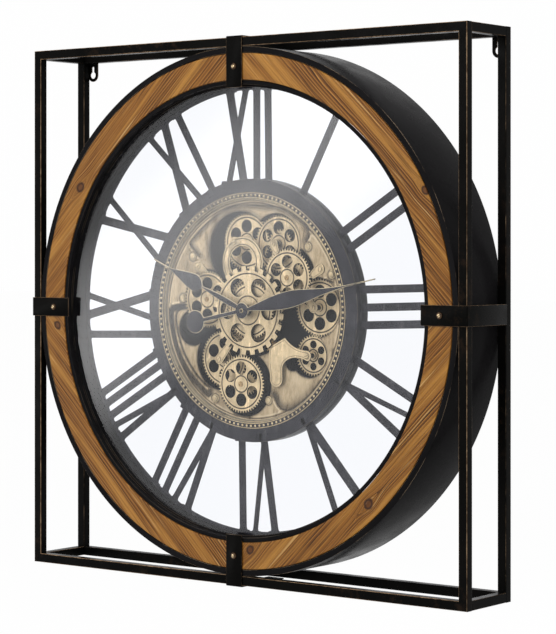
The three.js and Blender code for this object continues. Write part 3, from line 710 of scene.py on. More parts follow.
def cell_jacket():
    f = Finish("cell_jacket", metallic=0.4)
    across = f.node("SeparateXYZ", {0: f.coords}).outputs[0]
    stripe = f.band(f.math("ABSOLUTE", across), 0.0, 0.004)
    scuffs = f.noise(300, 5, 0.7)
    foil = f.shades(scuffs, (128, 132, 138), (156, 160, 166))
    colour = f.over(foil, (60, 62, 66), stripe, 0.25)
    return f.finish(colour, f.greys(scuffs, 70, 110), scuffs, 0.08, 0.05)


def clear_glass():
    f = Finish("clear_glass", roughness=0.0, transmission_weight=1.0, ior=1.37)
    f.finish(f.shades(f.noise(3, 2), (251, 252, 255), (249, 251, 255)))
    shadow = f.node("LightPath").outputs["Is Shadow Ray"]
    return f.show(shadow, f.shader, f.node("BsdfTransparent"))


STEEL = (black_steel(), "black_steel")
DRUM = (drum_paint("drum_paint", 0.9), "black_steel")
BEZEL_PAINT = (drum_paint("bezel_paint", 0.25), "black_steel")
LINER_PAINT = (drum_paint("liner_paint", 0.15), "black_steel")
CHARCOAL = (charcoal("charcoal", 0.32), "charcoal")
HAND_PAINT = (charcoal("hand_charcoal", 1.0), "charcoal")
GOLD = (antique_gold(), "antique_gold")
PANEL = (panel_gold(), "antique_gold")
BRASS = (brass("brass", (150, 116, 72), (216, 184, 132)), "brass")
BRIGHT_BRASS = (brass("bright_brass", (206, 178, 124), (244, 224, 178)), "brass")
ZINC = (brass("zinc", (118, 118, 120), (178, 178, 180)), "brass")
MARKS = (ZINC[0], "black_plastic")
# Dark bronze screw heads with a painted highlight on their crowns
BRONZE = (brass("bronze", (44, 31, 19), (96, 70, 42), (232, 204, 158)), "brass")
WOOD = (wood(), "wood")
PLASTIC = (black_plastic(), "black_plastic")
CELL = (cell_jacket(), "cell")
GLASS = (clear_glass(), "glass")


# Frame
# Half side, depth and wear along a rounded square tube's outline
def section_points():
    square = [(HALF, 0), (HALF, TUBE), (HALF - TUBE, TUBE), (HALF - TUBE, 0)]
    points = []
    for i, corner in enumerate(square):
        here = Vector(corner)
        back, on = [(Vector(square[k % 4]) - here).normalized() for k in (i - 1, i + 1)]
        curve = corner_curve(here + back * TUBE_ROUND, here, here + on * TUBE_ROUND, 4)
        points.append((*(here + back * WEAR_REACH), 0))
        points += [(*spot, 1 - abs(k / 4 - 0.5)) for k, spot in enumerate(curve)]
        points.append((*(here + on * WEAR_REACH), 0))
    return points


# A skin over rows of places with their wear, either joined end to end or capped
def worn_skin(rows, joined):
    bm = bmesh.new()
    edge = bm.verts.layers.float.new("edge")
    made = []
    for row in rows:
        made.append([])
        for spot, wear in row:
            vert = bm.verts.new(place(*spot))
            vert[edge] = wear
            made[-1].append(vert)
    skin(bm, made + made[:1] if joined else made, caps=not joined)
    return finished(bm)


def square_frame(front, worn):
    rows = []
    for sx, sz in ((1, 1), (1, -1), (-1, -1), (-1, 1)):
        rows.append([((sx * r, front + depth, sz * r), wear * worn) for r, depth, wear in section_points()])
    return worn_skin(rows, True)


def corner_rail(sx, sz):
    rows = []
    for depth in (TUBE - RAIL_LAP, FRAME_DEPTH - TUBE + RAIL_LAP):
        rows.append([((sx * r, depth, sz * (HALF - across)), wear) for r, across, wear in section_points()])
    return worn_skin(rows, False)


def hanger(x):
    hole = (x, HANGER_BOTTOM + HANGER_HALF)
    outline = arc(hole, HANGER_HALF, math.pi, TAU, 28)
    outline += [(x + HANGER_HALF, HALF - 1), (x - HANGER_HALF, HALF - 1)]
    slot = KEYHOLE_SLOT / 2
    turn = math.acos(slot / KEYHOLE_R)
    keyhole = arc(hole, KEYHOLE_R, math.pi - turn, TAU + turn, 32)
    keyhole += arc((x, KEYHOLE_TOP - slot), slot, 0, math.pi, 12)
    return union_plate([(outline, [keyhole])], FRAME_DEPTH, HANGER_T, 0.25)


def strap():
    outer = HALF + GAP
    back = FRAME_DEPTH - TUBE
    profile = [(STRAP_INNER_R, -STRAP_T), (outer + STRAP_T, -STRAP_T), (outer + STRAP_T, back)]
    profile += [(outer, back), (outer, 0), (STRAP_INNER_R, 0)]
    bent = [profile[0], *rounded(profile, STRAP_BEND, 5)[6:12], *profile[2:4]]
    bent += [*rounded(profile, 0.25, 2)[12:15], profile[5]]
    bm = bmesh.new()
    edges = (-STRAP_WIDTH / 2, STRAP_WIDTH / 2)
    skin(bm, [[bm.verts.new(place(r, d - GAP, z)) for r, d in bent] for z in edges], caps=True)
    bmesh.ops.recalc_face_normals(bm, faces=bm.faces)
    return bevelled(bm, 0.3)


# A domed head with a slot across it, at a place on the front
def slotted_head(centre, radius, seat, height, slot_turn, slot_half=0.5, slot_depth=0.9):
    rings = [ring(centre, radius * share, 40) for share in (1, 0.93, 0.8, 0.6, 0.35)]
    loops = [(rings[0], seat - HEAD_RIM)] + [(points, None) for points in rings[1:]]
    middle = np.array(centre)
    along = np.array(polar(1, slot_turn))
    across = np.array((-along[1], along[0]))
    for half in (slot_half, slot_half - 0.08):
        slot = [tuple(middle + along * radius * 0.9 * a + across * half * b) for a, b in CORNERS]
        loops.append((slot, None))

    def dome(spots):
        away = spots - middle
        share = np.linalg.norm(away, axis=1) / radius
        depth = seat - HEAD_RIM - (height - HEAD_RIM) * np.sqrt(np.clip(1 - share ** 2 * 0.97, 0, 1))
        sunk = (np.abs(away @ across) < slot_half - 0.04) & (np.abs(away @ along) < radius * 0.88)
        return np.where(sunk, depth + slot_depth, depth)

    return relief(loops, rings[0], [], seat, height=dome)


# The same head turned to face the back, for screws behind the dial
def back_head(centre, radius, seat, height, slot_turn):
    mesh = slotted_head(centre, radius, 0, height, slot_turn, 0.45, 0.8)
    mirror = Matrix.Scale(-1, 4, (0, 1, 0))
    mesh.transform(Matrix.Translation((0, 2 * FRONT_Y + seat * MM, 0)) @ mirror)
    mesh.flip_normals()
    return mesh


def build_frame():
    for name, front, worn in (("front_frame", 0, 1.25), ("rear_frame", FRAME_DEPTH - TUBE, 0.85)):
        nodes = [f"{name}_{side}" for side in ("top", "right", "bottom", "left")]
        add(f"{name}_welded", square_frame(front, worn), STEEL, *nodes)
    for row, sz in (("top", 1), ("bottom", -1)):
        for side, sx in (("left", -1), ("right", 1)):
            node = f"corner_rail_{row}_{side}"
            add(f"{node}_welded", corner_rail(sx, sz), STEEL, node)
    for side, x in (("left", -HANGER_X), ("right", HANGER_X)):
        add(f"keyhole_plate_{side}", hanger(x), STEEL, f"hanger_{side}")
    seat = -GAP - STRAP_T
    at = (SCREW_AT_R, 0)
    for i, side in enumerate(("right", "bottom", "left", "top")):
        turn = i * QUARTER
        add(f"bent_strap_{side}", spin_y(strap(), turn), STEEL, f"strap_{side}")
        head = slotted_head(at, SCREW_R, seat, SCREW_H, 0.5 + i)
        shank = rod(at, 2, seat - 0.2, WOOD_T - 1, 24)
        screw = spin_y(merged([head, shank]), turn)
        add(f"dome_screw_{side}", screw, BRONZE, f"strap_screw_{side}")


# Wooden ring
# Place along and across a board, with the grain bent round its knots, and the way to a knot in knot sizes
def grain_at(x, z, middle):
    along, across = turned([(x, z)], QUARTER - middle)[0]
    bend = 0
    knot = FAR_FROM_KNOT
    for kx, kz, size in KNOTS:
        if math.hypot(x - kx, z - kz) < 7 * size:
            ka, kc = turned([(kx, kz)], QUARTER - middle)[0]
            pull = math.exp(-(((along - ka) / (2.2 * size)) ** 2) - abs(across - kc) / (1.6 * size))
            bend -= math.copysign(size * 0.8 * pull, across - kc)
            knot = min(knot, math.hypot(along - ka, 1.25 * (across - kc)) / size)
    return along, across + bend, knot


def wood_board(start, seed):
    trim = GAP / WOOD_INNER_R
    width = WOOD_OUTER_R - WOOD_INNER_R - 2 * WOOD_ROUND
    steps_across = round(width / WOOD_STEP)
    steps_along = round(WOOD_OUTER_R * QUARTER / WOOD_STEP)
    rim = ((0, WOOD_T), (0, WOOD_ROUND), (WOOD_CHAMFER, WOOD_CHAMFER))
    section = [(WOOD_INNER_R + r, depth) for r, depth in rim]
    section += [(WOOD_INNER_R + WOOD_ROUND + width * k / steps_across, 0) for k in range(steps_across + 1)]
    section += [(WOOD_OUTER_R - r, depth) for r, depth in reversed(rim)]
    bm = bmesh.new()
    knot_layer = bm.verts.layers.float.new("knot")
    board_layer = bm.verts.layers.float_vector.new("board")
    rows = []
    for i in range(steps_along + 1):
        angle = start + trim + (QUARTER - 2 * trim) * i / steps_along
        rows.append([])
        for r, depth in section:
            x, z = polar(r, angle)
            along, across, knot = grain_at(x, z, start + math.pi / 4)
            wave = WOOD_WAVE * (1 + noise.noise((along / 40, across / 5, seed)))
            vert = bm.verts.new(place(x, depth or wave, z))
            vert[knot_layer] = knot
            vert[board_layer] = (along, across + depth, seed)
            rows[-1].append(vert)
    skin(bm, rows, caps=True)
    return finished(bm, 50)


def build_wood():
    boards = (("top_right", 0), ("bottom_right", -1), ("bottom_left", -2), ("top_left", 1))
    for i, (name, quarters) in enumerate(boards):
        board = wood_board(quarters * QUARTER, 37 * i + 1)
        add(f"board_{name}", board, WOOD, f"wood_{name}")


# Drum, carrier, bezel and glass
def build_body():
    flange_back = DRUM_FRONT + SHEET_T
    shell = [(DRUM_FLANGE_R, DRUM_FRONT), (DRUM_R, DRUM_FRONT), (DRUM_R, FRAME_DEPTH)]
    shell += [(DRUM_INNER_R, FRAME_DEPTH), (DRUM_INNER_R, flange_back), (DRUM_FLANGE_R, flange_back)]
    add("drum_rolled", lathe(rounded(shell, 0.6, 3)), DRUM, "drum_shell")
    lip = BEZEL_FRONT + SHEET_T
    wall = BEZEL_LIP_R + SHEET_T
    flange = BEZEL_BACK - SHEET_T
    bezel = [(BEZEL_LIP_R, BEZEL_FRONT), (BEZEL_OUTER_R, BEZEL_FRONT), (BEZEL_OUTER_R, lip), (wall, lip)]
    bezel += [(wall, BEZEL_BACK), (BEZEL_FLANGE_R, BEZEL_BACK)]
    bezel += [(BEZEL_FLANGE_R, flange), (BEZEL_LIP_R, flange)]
    add("bezel_rolled", lathe(rounded(bezel, 0.5, 3)), BEZEL_PAINT, "bezel_ring")
    rim = GLASS_R - GLASS_EDGE
    pane = [(0, GLASS_FRONT), (rim, GLASS_FRONT), (GLASS_R, GLASS_FRONT + GLASS_EDGE)]
    pane += [(GLASS_R, GLASS_BACK - GLASS_EDGE), (rim, GLASS_BACK), (0, GLASS_BACK)]
    add("glass_pane", lathe(pane), GLASS, "front_glass")
    web = WOOD_T + GAP
    web_back = web + SHEET_T
    ledge_back = DIAL_LEDGE + SHEET_T
    outer = DRUM_INNER_R - 2 * GAP
    liner = LINER_R + SHEET_T
    carrier = [(outer, web), (outer, web_back), (liner, web_back), (liner, ledge_back)]
    carrier += [(LEDGE_R, ledge_back), (LEDGE_R, DIAL_LEDGE), (LINER_R, DIAL_LEDGE), (LINER_R, web)]
    add("carrier_pressed", lathe(rounded(carrier, 0.4, 2)), LINER_PAINT, "carrier_ring")
    turns = [TAU * (i + 0.5) / CARRIER_SCREWS for i in range(CARRIER_SCREWS)]
    heads = [back_head(polar(SCREW_AT_R, turn), 3.6, web_back, 2, 5 * turn) for turn in turns]
    add("carrier_screws", merged(heads), ZINC)


# Dial
# Strokes of each numeral: inner offset, outer offset and width, clockwise from the hour's own radius
NUMERALS = {
    "XII": ((-9, -29, THICK_ARM), (-36, -2, THIN_ARM), (11, 15.5, STROKE), (30.5, 33.5, STROKE)),
    "I": ((0, 1, STROKE),),
    "II": ((-10, -9, STROKE), (13, 14, STROKE)),
    "III": ((-22.5, -22, STROKE), (0, 0, STROKE), (22, 22, STROKE)),
    "IV": ((-23, -23, STROKE), (13, -4, FINE_ARM), (10, 29, STROKE)),
    "V": ((1.5, -20, THICK_ARM), (1, 23.5, THIN_ARM)),
    "VI": ((-10, -24.5, STROKE), (-12, 8, FINE_ARM), (25, 27.5, STROKE)),
    "VII": ((-13.5, -26, STROKE), (-16, -0.5, THIN_ARM), (15.5, 18.5, STROKE), (37.5, 39.5, STROKE)),
    "VIII": ((-22, -28.5, STROKE), (-25, -9.5, THIN_ARM), (2.5, 5.5, STROKE), (19.5, 23, STROKE),
             (35.5, 39, STROKE)),
    "IX": ((-29, -27.5, STROKE), (26, -1, THICK_ARM), (-10.5, 26, THIN_ARM)),
    "X": ((19, -17.5, THICK_ARM), (-21, 14.5, THIN_ARM)),
    "XI": ((-28.5, 2.5, THICK_ARM), (5, -28.5, THIN_ARM), (25, 28, STROKE)),
}


def all_strokes():
    for hour, strokes in enumerate(NUMERALS.values()):
        for stroke in strokes:
            yield -(hour * math.pi / 6 - DIAL_TURN), stroke


# One stroke drawn up the Z axis, from the hub ring to the outer ring, flared where it joins that ring
def stroke_outline(inner, outer, width):
    edge_at = math.sqrt(DIAL_OPENING_R ** 2 - outer ** 2)
    end = edge_at + 1.5
    length = end - STROKE_ROOT_R
    half = width / 2 / math.cos(math.atan2(outer - inner, length))

    def side(r, sign, more=0):
        return (inner + (outer - inner) * (r - STROKE_ROOT_R) / length + sign * (half + more), r)

    points = []
    for sign in (-1, 1):
        low = side(edge_at - FLARE_LENGTH, sign)
        corner = side(edge_at - 0.6, sign)
        curve = bezier(low, corner, corner, side(edge_at - 0.3, sign, FLARE), 9)
        edge = [side(STROKE_ROOT_R, sign), low, *curve, side(end, sign, FLARE)]
        points += edge if sign < 0 else edge[::-1]
    return points


def build_dial():
    outside = ring(CENTRE, DIAL_OUTER_R, 180)
    shapes = [(outside, [ring(CENTRE, DIAL_OPENING_R, 180)])]
    shapes.append((ring(CENTRE, HUB_R, 144), [ring(CENTRE, HUB_INNER_R, 144)]))
    shapes += [(turned(stroke_outline(*stroke), turn), []) for turn, stroke in all_strokes()]
    plate = union_plate(shapes, DIAL_DEPTH, DIAL_T, 0.4, within=outside)
    add("dial_cut_out", plate, CHARCOAL, "dial_plate")


# Gear module's fixed pieces
def build_gear_bezel():
    edge = DIAL_DEPTH - GAP
    lip = PANEL_FRONT - GAP
    seat_r = PANEL_R + GAP
    profile = [(BEZEL_FACE_R, BEZEL_FACE), (HUB_R, BEZEL_FACE), (HUB_R, edge), (seat_r, edge)]
    meshes = [lathe(rounded([*profile, (seat_r, lip), (BEZEL_EDGE_R, lip)], 0.7, 3))]
    for turn, (inner, _, width) in all_strokes():
        near, far = inner - width / 2, inner + width / 2
        outline = rounded(rectangle(near, far, TAB_INNER_R, TAB_OUTER_R), 1.2, 3)
        outline = turned(outline, turn)
        loops = [(outline, BEZEL_FACE - 0.05), (inset(outline, 1.2), BEZEL_FACE - 0.3)]
        meshes.append(relief(loops, outline, [], BEZEL_FACE + 0.2))
    add("gear_bezel_cast", merged(meshes), CHARCOAL, "gear_bezel")
    seat = BEZEL_FACE - GAP
    track = [(BEAD_RING_R + out, seat - up) for out, up in ((-3.4, 0), (-3.1, 0.5), (3.1, 0.5), (3.4, 0))]
    add("bead_track", lathe(track), CHARCOAL, "bead_ring")
    crown = seat - 0.6
    wires = ((BEAD_RING_R - 5, 33.9), (BEAD_RING_R - 3, crown), (BEAD_RING_R + 3, crown))
    bm = gathered([wire_ring(radius, depth, WIRE_R, 10, RING_SIDES) for radius, depth in wires])
    for i in range(BEAD_COUNT):
        x, z = polar(BEAD_RING_R, TAU * i / BEAD_COUNT)
        spot = Matrix.Translation(place(x, crown, z))
        bmesh.ops.create_icosphere(bm, subdivisions=2, radius=BEAD_R * MM, matrix=spot)
    add("bead_ring_cast", finished(bm, 60), GOLD)


# Wheel train: each wheel is placed where it meshes with the wheel that drives it
def meshed(driver, degrees, teeth):
    angle = math.radians(degrees)
    at = polar(MODULE * (driver["teeth"] + teeth) / 2, angle, driver["at"])
    share = driver["teeth"] * (angle - driver["phase"]) / TAU
    return {"at": at, "teeth": teeth, "phase": angle + math.pi - (0.5 - share) * TAU / teeth}


def on_axis_of(wheel, teeth):
    return {**wheel, "teeth": teeth}


FINE = 54
UPPER_CENTRE = {"at": CENTRE, "teeth": FINE, "phase": 0}
LOWER_CENTRE = on_axis_of(UPPER_CENTRE, 67)
UPPER_RIGHT = meshed(UPPER_CENTRE, 35.8, FINE)
UPPER_RIGHT_SMALL = on_axis_of(UPPER_RIGHT, 17)
UPPER_RIGHT_LARGE = on_axis_of(UPPER_RIGHT, 30)
LEFT = meshed(UPPER_CENTRE, 169.5, FINE)
LOWER_LEFT = meshed(LOWER_CENTRE, 232, FINE)
BOTTOM_PINION = meshed(LOWER_LEFT, -38.2, 20)
BOTTOM = on_axis_of(BOTTOM_PINION, FINE)
TOP_RIGHT = meshed(UPPER_RIGHT_SMALL, 115.3, FINE)
TOP_RIGHT_PINION = on_axis_of(TOP_RIGHT, 27)
TOP_LEFT = meshed(TOP_RIGHT_PINION, 177.3, FINE)
RIGHT = meshed(UPPER_RIGHT_LARGE, -41.4, FINE)
LOWER_RIGHT = meshed(RIGHT, 260.5, 38)
MOTOR = meshed(LOWER_CENTRE, -60, 12)
ARCH_CENTRE = (-11.7, 62)
ARCH_FOOT = (-40, 52)
ARCH_OUTER_R = 33
ARCH_INNER_R = 21
ARCH_CUT_R = 48.5
ARCH_EAR = (-25, 88)
ARCH_EAR_R = 7


# Even teeth round a circle, each from the same corners: radius and share of the step between teeth
def tooth_outline(centre, count, phase, corners):
    step = TAU / count
    return [polar(r, phase + (i + share) * step, centre) for i in range(count) for r, share in corners]


def toothed(wheel):
    pitch_r = MODULE * wheel["teeth"] / 2
    root, tip = pitch_r - DEDENDUM, pitch_r + ADDENDUM
    corners = ((root, -0.26), (tip, -0.12), (tip, 0.12), (root, 0.26))
    return tooth_outline(wheel["at"], wheel["teeth"], wheel["phase"], corners)


def edge_loops(outline, depth, bevel):
    return [(outline, depth + bevel), (inset(outline, bevel), depth)]


def grooved(centre, radius, depth, half=0.8, sunk=0.7):
    sides = max(48, round(radius * 2.6))
    steps = ((half + 0.5, 0, 0), (half, 0, 0.5), (half / 2, sunk, 1))
    steps = [(-out, down, wash_and_shade) for out, down, wash_and_shade in steps] + list(steps[::-1])
    return [(ring(centre, radius + out, sides), depth + down, wash_and_shade) for out, down, wash_and_shade in steps]


# A toothed plate with bevelled teeth and holes and incised circles
def wheel_plate(outline, centre, depth, thickness, holes, grooves, bevel=0.32):
    loops = edge_loops(outline, depth, bevel)
    hole_rings = []
    for at, radius in holes:
        hole_rings.append(ring(at, radius, 40))
        loops += [(hole_rings[-1], depth + bevel), (ring(at, radius + bevel, 40), depth)]
    for radius in grooves:
        loops += grooved(centre, radius, depth)
    return relief(loops, outline, hole_rings, depth + thickness)


def train_plate(wheel, depth, holes, grooves=()):
    return wheel_plate(toothed(wheel), wheel["at"], depth, WHEEL_T, holes, grooves)


def spoke_holes(centre, circle, radius, turn=0.5):
    return [(polar(circle, (i + turn) * TAU / 6, centre), radius) for i in range(6)]


def wheel_piece(body, wheel, layer, sleeve=2, pinions=(), holes=(20.5, 8.4), grooves=(10.6, 31.6)):
    centre = wheel["at"]
    bore = (centre, BORE_R)
    meshes = [train_plate(wheel, layer, [bore, *spoke_holes(centre, *holes)], grooves)]
    meshes.append(tube(centre, BORE_R, SLEEVE_R, layer - sleeve, SLEEVE_BACK))
    if not sleeve:
        collar = ((BORE_R, 0.1), (BORE_R, -0.9), (SLEEVE_R, -0.9), (COLLAR_R, -0.2), (COLLAR_R, 0.1))
        meshes.append(lathe([(r, layer + depth) for r, depth in collar], centre, 64))
    meshes += [train_plate(pinion, depth, [bore]) for pinion, depth in pinions]
    add(f"wheel_{body}_cut", merged(meshes), GOLD, f"wheel_{body}", body=body)


def centre_wheel():
    corners = ((CENTRE_ROOT_R, 0.2), (CENTRE_TIP_R, 0.26), (CENTRE_TIP_R, 0.74), (CENTRE_ROOT_R, 0.8))
    outline = tooth_outline(CENTRE, CENTRE_TEETH, 0, corners)
    bore = (CENTRE, ARBOR_BORE_R)
    bores = [bore, *spoke_holes(CENTRE, 33.5, 12, turn=0)]
    front = wheel_plate(outline, CENTRE, FRONT_LAYER, CENTRE_T, bores, (18.5, 47.6), 0.45)
    add("centre_wheel_cut", front, GOLD, "centre_wheel", body="centre")
    meshes = [tube(CENTRE, ARBOR_BORE_R, ARBOR_R, FRONT_LAYER + CENTRE_T + GAP, SLEEVE_BACK)]
    for wheel, depth in ((UPPER_CENTRE, UPPER_LAYER), (LOWER_CENTRE, MIDDLE_LAYER)):
        meshes.append(train_plate(wheel, depth, [bore], (MODULE * wheel["teeth"] / 2 - 5, 14)))
    add("centre_arbor_cut", merged(meshes), GOLD, "centre_arbor", body="centre")


def build_wheels():
    centre_wheel()
    pinions = [(UPPER_RIGHT_SMALL, MIDDLE_LAYER), (UPPER_RIGHT_LARGE, LOWER_LAYER)]
    wheel_piece("upper_right", UPPER_RIGHT, UPPER_LAYER, 0, pinions)
    wheel_piece("left", LEFT, UPPER_LAYER, 0)
    wheel_piece("lower_left", LOWER_LEFT, MIDDLE_LAYER)
    wheel_piece("bottom", BOTTOM, FRONT_LAYER, 0, [(BOTTOM_PINION, MIDDLE_LAYER)])
    wheel_piece("top_right", TOP_RIGHT, MIDDLE_LAYER, pinions=[(TOP_RIGHT_PINION, LOWER_LAYER)])
    wheel_piece("top_left", TOP_LEFT, LOWER_LAYER)
    wheel_piece("right", RIGHT, LOWER_LAYER)
    wheel_piece("lower_right", LOWER_RIGHT, LOWER_LAYER, holes=(14, 5), grooves=(7.6, 21.3))
    shaft = rod(MOTOR["at"], POST_R, MIDDLE_LAYER - 0.6, CASE_BACK + 8, 32)
    pinion = merged([train_plate(MOTOR, MIDDLE_LAYER, []), shaft])
    add("motor_pinion_cut", pinion, BRASS, "motor_pinion", body="motor")


# Gear case with the posts that the wheels turn on
def build_gear_case():
    inner = HUB_R - CASE_WALL
    near, far = CASE_GROOVE
    sunk = CASE_BACK - 0.8
    tub = [(HUB_R, DIAL_LEDGE), (HUB_R, CASE_BACK), (far, CASE_BACK), (far - 1, sunk), (near + 1, sunk)]
    tub += [(near, CASE_BACK), (ARBOR_BORE_R, CASE_BACK), (ARBOR_BORE_R, CASE_FLOOR)]
    tub += [(inner, CASE_FLOOR), (inner, DIAL_LEDGE)]
    meshes = [lathe(rounded(tub, 0.4, 2), sides=192)]
    under_cock = COCK_DEPTH + COCK_T + GAP
    posts = [(w["at"], under_cock) for w in (LOWER_LEFT, TOP_RIGHT, TOP_LEFT, RIGHT, LOWER_RIGHT)]
    posts += [(UPPER_RIGHT["at"], UPPER_LAYER - 0.5), (LEFT["at"], UPPER_LAYER - 0.5)]
    posts += [(BOTTOM["at"], FRONT_LAYER - 0.5), (ARCH_FOOT, under_cock)]
    meshes += [rod(at, POST_R, front, CASE_FLOOR + 0.5, 24) for at, front in posts]
    foot, top = CASE_BACK - 0.3, CASE_BACK + 1.5
    rib = rectangle(RIB_FROM_R, RIB_TO_R, -RIB_HALF, RIB_HALF)
    for degrees in range(-15, 270, 30):
        meshes.append(union_plate([(turned(rib, math.radians(degrees)), [])], foot, top - foot, 0.4))
    hoop = rectangle(RIB_FROM_R - 4, RIB_FROM_R, foot, top)
    meshes.append(lathe(rounded(hoop, 0.5, 2), sides=128))
    screws = []
    for i in range(CASE_SCREWS):
        at = polar(CASE_SCREWS_R, TAU * (i + 0.25) / CASE_SCREWS)
        screws.append(back_head(at, 3.4, CASE_BACK, 1.9, 1.3 * i))
    add("case_screws", merged(screws), ZINC)
    add("gear_case_moulded", merged(meshes), PLASTIC, "gear_case")
    for name, wheel, layer in (
        ("upper_right", UPPER_RIGHT, UPPER_LAYER),
        ("left", LEFT, UPPER_LAYER),
        ("bottom", BOTTOM, FRONT_LAYER),
    ):
        cap = slotted_head(wheel["at"], 3.4, layer - 0.95, 1.3, 0.9, 0.4, 0.5)
        add(f"post_screw_{name}", cap, BRASS)


# Gold panel
RIM_LINES = (139.5, 144.5)
RIM_RINGS = (135.5, 137.5, 139.5, 141.5, 143, 144.5, 146)
GRID_R = 134.5
RELIEF_R = 140.5
UPPER_LINE = [(82, 84), (89, 91), (92, 98), (89, 108), (80, 116), (60, 127), (40, 133), (0, 136), (-20, 135),
              (-40, 131), (-60, 122), (-80, 108), (-95, 95), (-102, 88), (-101, 83), (-95, 77), (-88, 70),
              (-83, 64)]
LEFT_LINE = [(-105, 7), (-128, 4), (-137, 0), (-137, -15), (-134, -35), (-125, -60), (-110, -83), (-95, -98),
             (-80, -110), (-72, -114), (-66, -110), (-60, -109)]
LEFT_INNER_LINE = [(-108, 1), (-122, -2), (-127, -10), (-124, -30), (-115, -55), (-102, -75), (-88, -90),
                   (-72, -101), (-58, -102)]
LOWER_LINE = [(29, -112), (36, -111), (42, -120), (50, -126), (60, -126), (70, -123), (90, -108), (110, -88),
              (125, -65), (130, -40)]
RIGHT_LINE = [(108, 35), (118, 40), (125, 38), (135, 36)]
# Each contour with the side that its dark wash lies on, the wash's full and faded reach, its share,
# and the length along the contour over which it dies away
CONTOURS = (
    (UPPER_LINE, 1, 2, 10, 0.8, 900),
    (LEFT_LINE, 1, 5.5, 10, 1, 900),
    (LEFT_INNER_LINE, 1, 0, 2, 0.2, 900),
    (LOWER_LINE, 1, 3, 13, 1, 60),
    (RIGHT_LINE, -1, 0, 5, 0.8, 900),
)
RIVETS = ((-98, 69), (90, 82), (127, 47), (-115, 14), (-60, -116), (27, -115))
PANEL_CELL = 1.2
STEP_H = 0.9
# The large opening at the upper left, whose edge gets the widest painted shade
HOLLOW = ((-21, 79), 48)
HOLLOW_SHADE_REACH = 11
OPENING_SHADE_REACH = 3


# Passes a smooth curve through points
def smooth_line(points, steps=6):
    p = [np.array(point, float) for point in (points[0], *points, points[-1])]
    line = [p[0]]
    for a, b, c, d in zip(p, p[1:], p[2:], p[3:]):
        for t in np.arange(1, steps + 1) / steps:
            bend = (2 * a - 5 * b + 4 * c - d) * t * t + (3 * b - a - 3 * c + d) * t ** 3
            line.append(0.5 * (2 * b + (c - a) * t + bend))
    return line


def hill(value, width):
    return np.exp(-((value / width) ** 2))


def panel_openings():
    wheel_r = MODULE * FINE / 2 + ADDENDUM + 1.2
    small_r = MODULE * LOWER_RIGHT["teeth"] / 2 + ADDENDUM + 1.2
    openings = [(CENTRE, 59.5), (UPPER_RIGHT["at"], wheel_r + 3), (BOTTOM["at"], wheel_r + 3.5)]
    openings += [(w["at"], wheel_r) for w in (TOP_RIGHT, TOP_LEFT, RIGHT, LEFT)]
    openings += [(LOWER_RIGHT["at"], small_r), (LOWER_LEFT["at"], wheel_r + 2)]
    return openings + [HOLLOW, ((67, -15), 32), ((66, -64), 12), ((-98, -25), 23), ((-68, -27), 15)]


# Depth of the panel's front and its dark wash and painted shade, which is negative where the gold is rubbed
# bright
def panel_surface(spots):
    radius = away_from(spots, CENTRE)
    depth = np.full(len(spots), float(PANEL_FRONT))
    wash_and_shade = np.zeros(len(spots))
    polish = np.zeros(len(spots))
    for line, dark_side, full, faded, share, length in CONTOURS:
        away, side = line_distance(spots, smooth_line(line))
        inner = side * dark_side > 0
        from_start = away_from(spots, line[0])
        fade = np.clip(np.minimum(from_start, away_from(spots, line[-1])) / 8, 0.2, 1)
        depth += 0.9 * fade * hill(away, 1.2)
        depth -= STEP_H * fade * np.where(inner, 0, hill(away - 2.8, 1.8))
        t = np.clip((away - full) / (faded - full), 0, 1)
        shade = share * np.exp(-from_start / length) * np.where(inner, 1 - t * t * (3 - 2 * t), 0)
        wash_and_shade = np.maximum(wash_and_shade, fade * np.maximum(shade, hill(away, 1.8)))
        ridge = fade * np.where(inner, 0, hill(away - 3, 1.3))
        polish = np.maximum(polish, ridge * min(1, length / 60))
    for line_r in RIM_LINES:
        groove = hill(radius - line_r, 0.9)
        depth += 0.6 * groove
        wash_and_shade = np.maximum(wash_and_shade, 0.85 * groove)
        polish = np.maximum(polish, hill(radius - line_r + 2.6, 1.1))
    # Painted shade round each opening, widest at the large one
    for at, opening_r in panel_openings():
        gap = np.abs(away_from(spots, at) - opening_r)
        reach = HOLLOW_SHADE_REACH if at == HOLLOW[0] else OPENING_SHADE_REACH
        wash_and_shade = np.maximum(wash_and_shade, 0.95 * np.clip(1 - gap / reach, 0, 1) ** 1.4)
    for at in RIVETS:
        wash_and_shade = np.maximum(wash_and_shade, 0.8 * hill(away_from(spots, at) - 6, 1.4))
    return np.where(radius > RELIEF_R, PANEL_FRONT, depth), np.where(wash_and_shade > 0.25, wash_and_shade, wash_and_shade - 0.8 * polish)


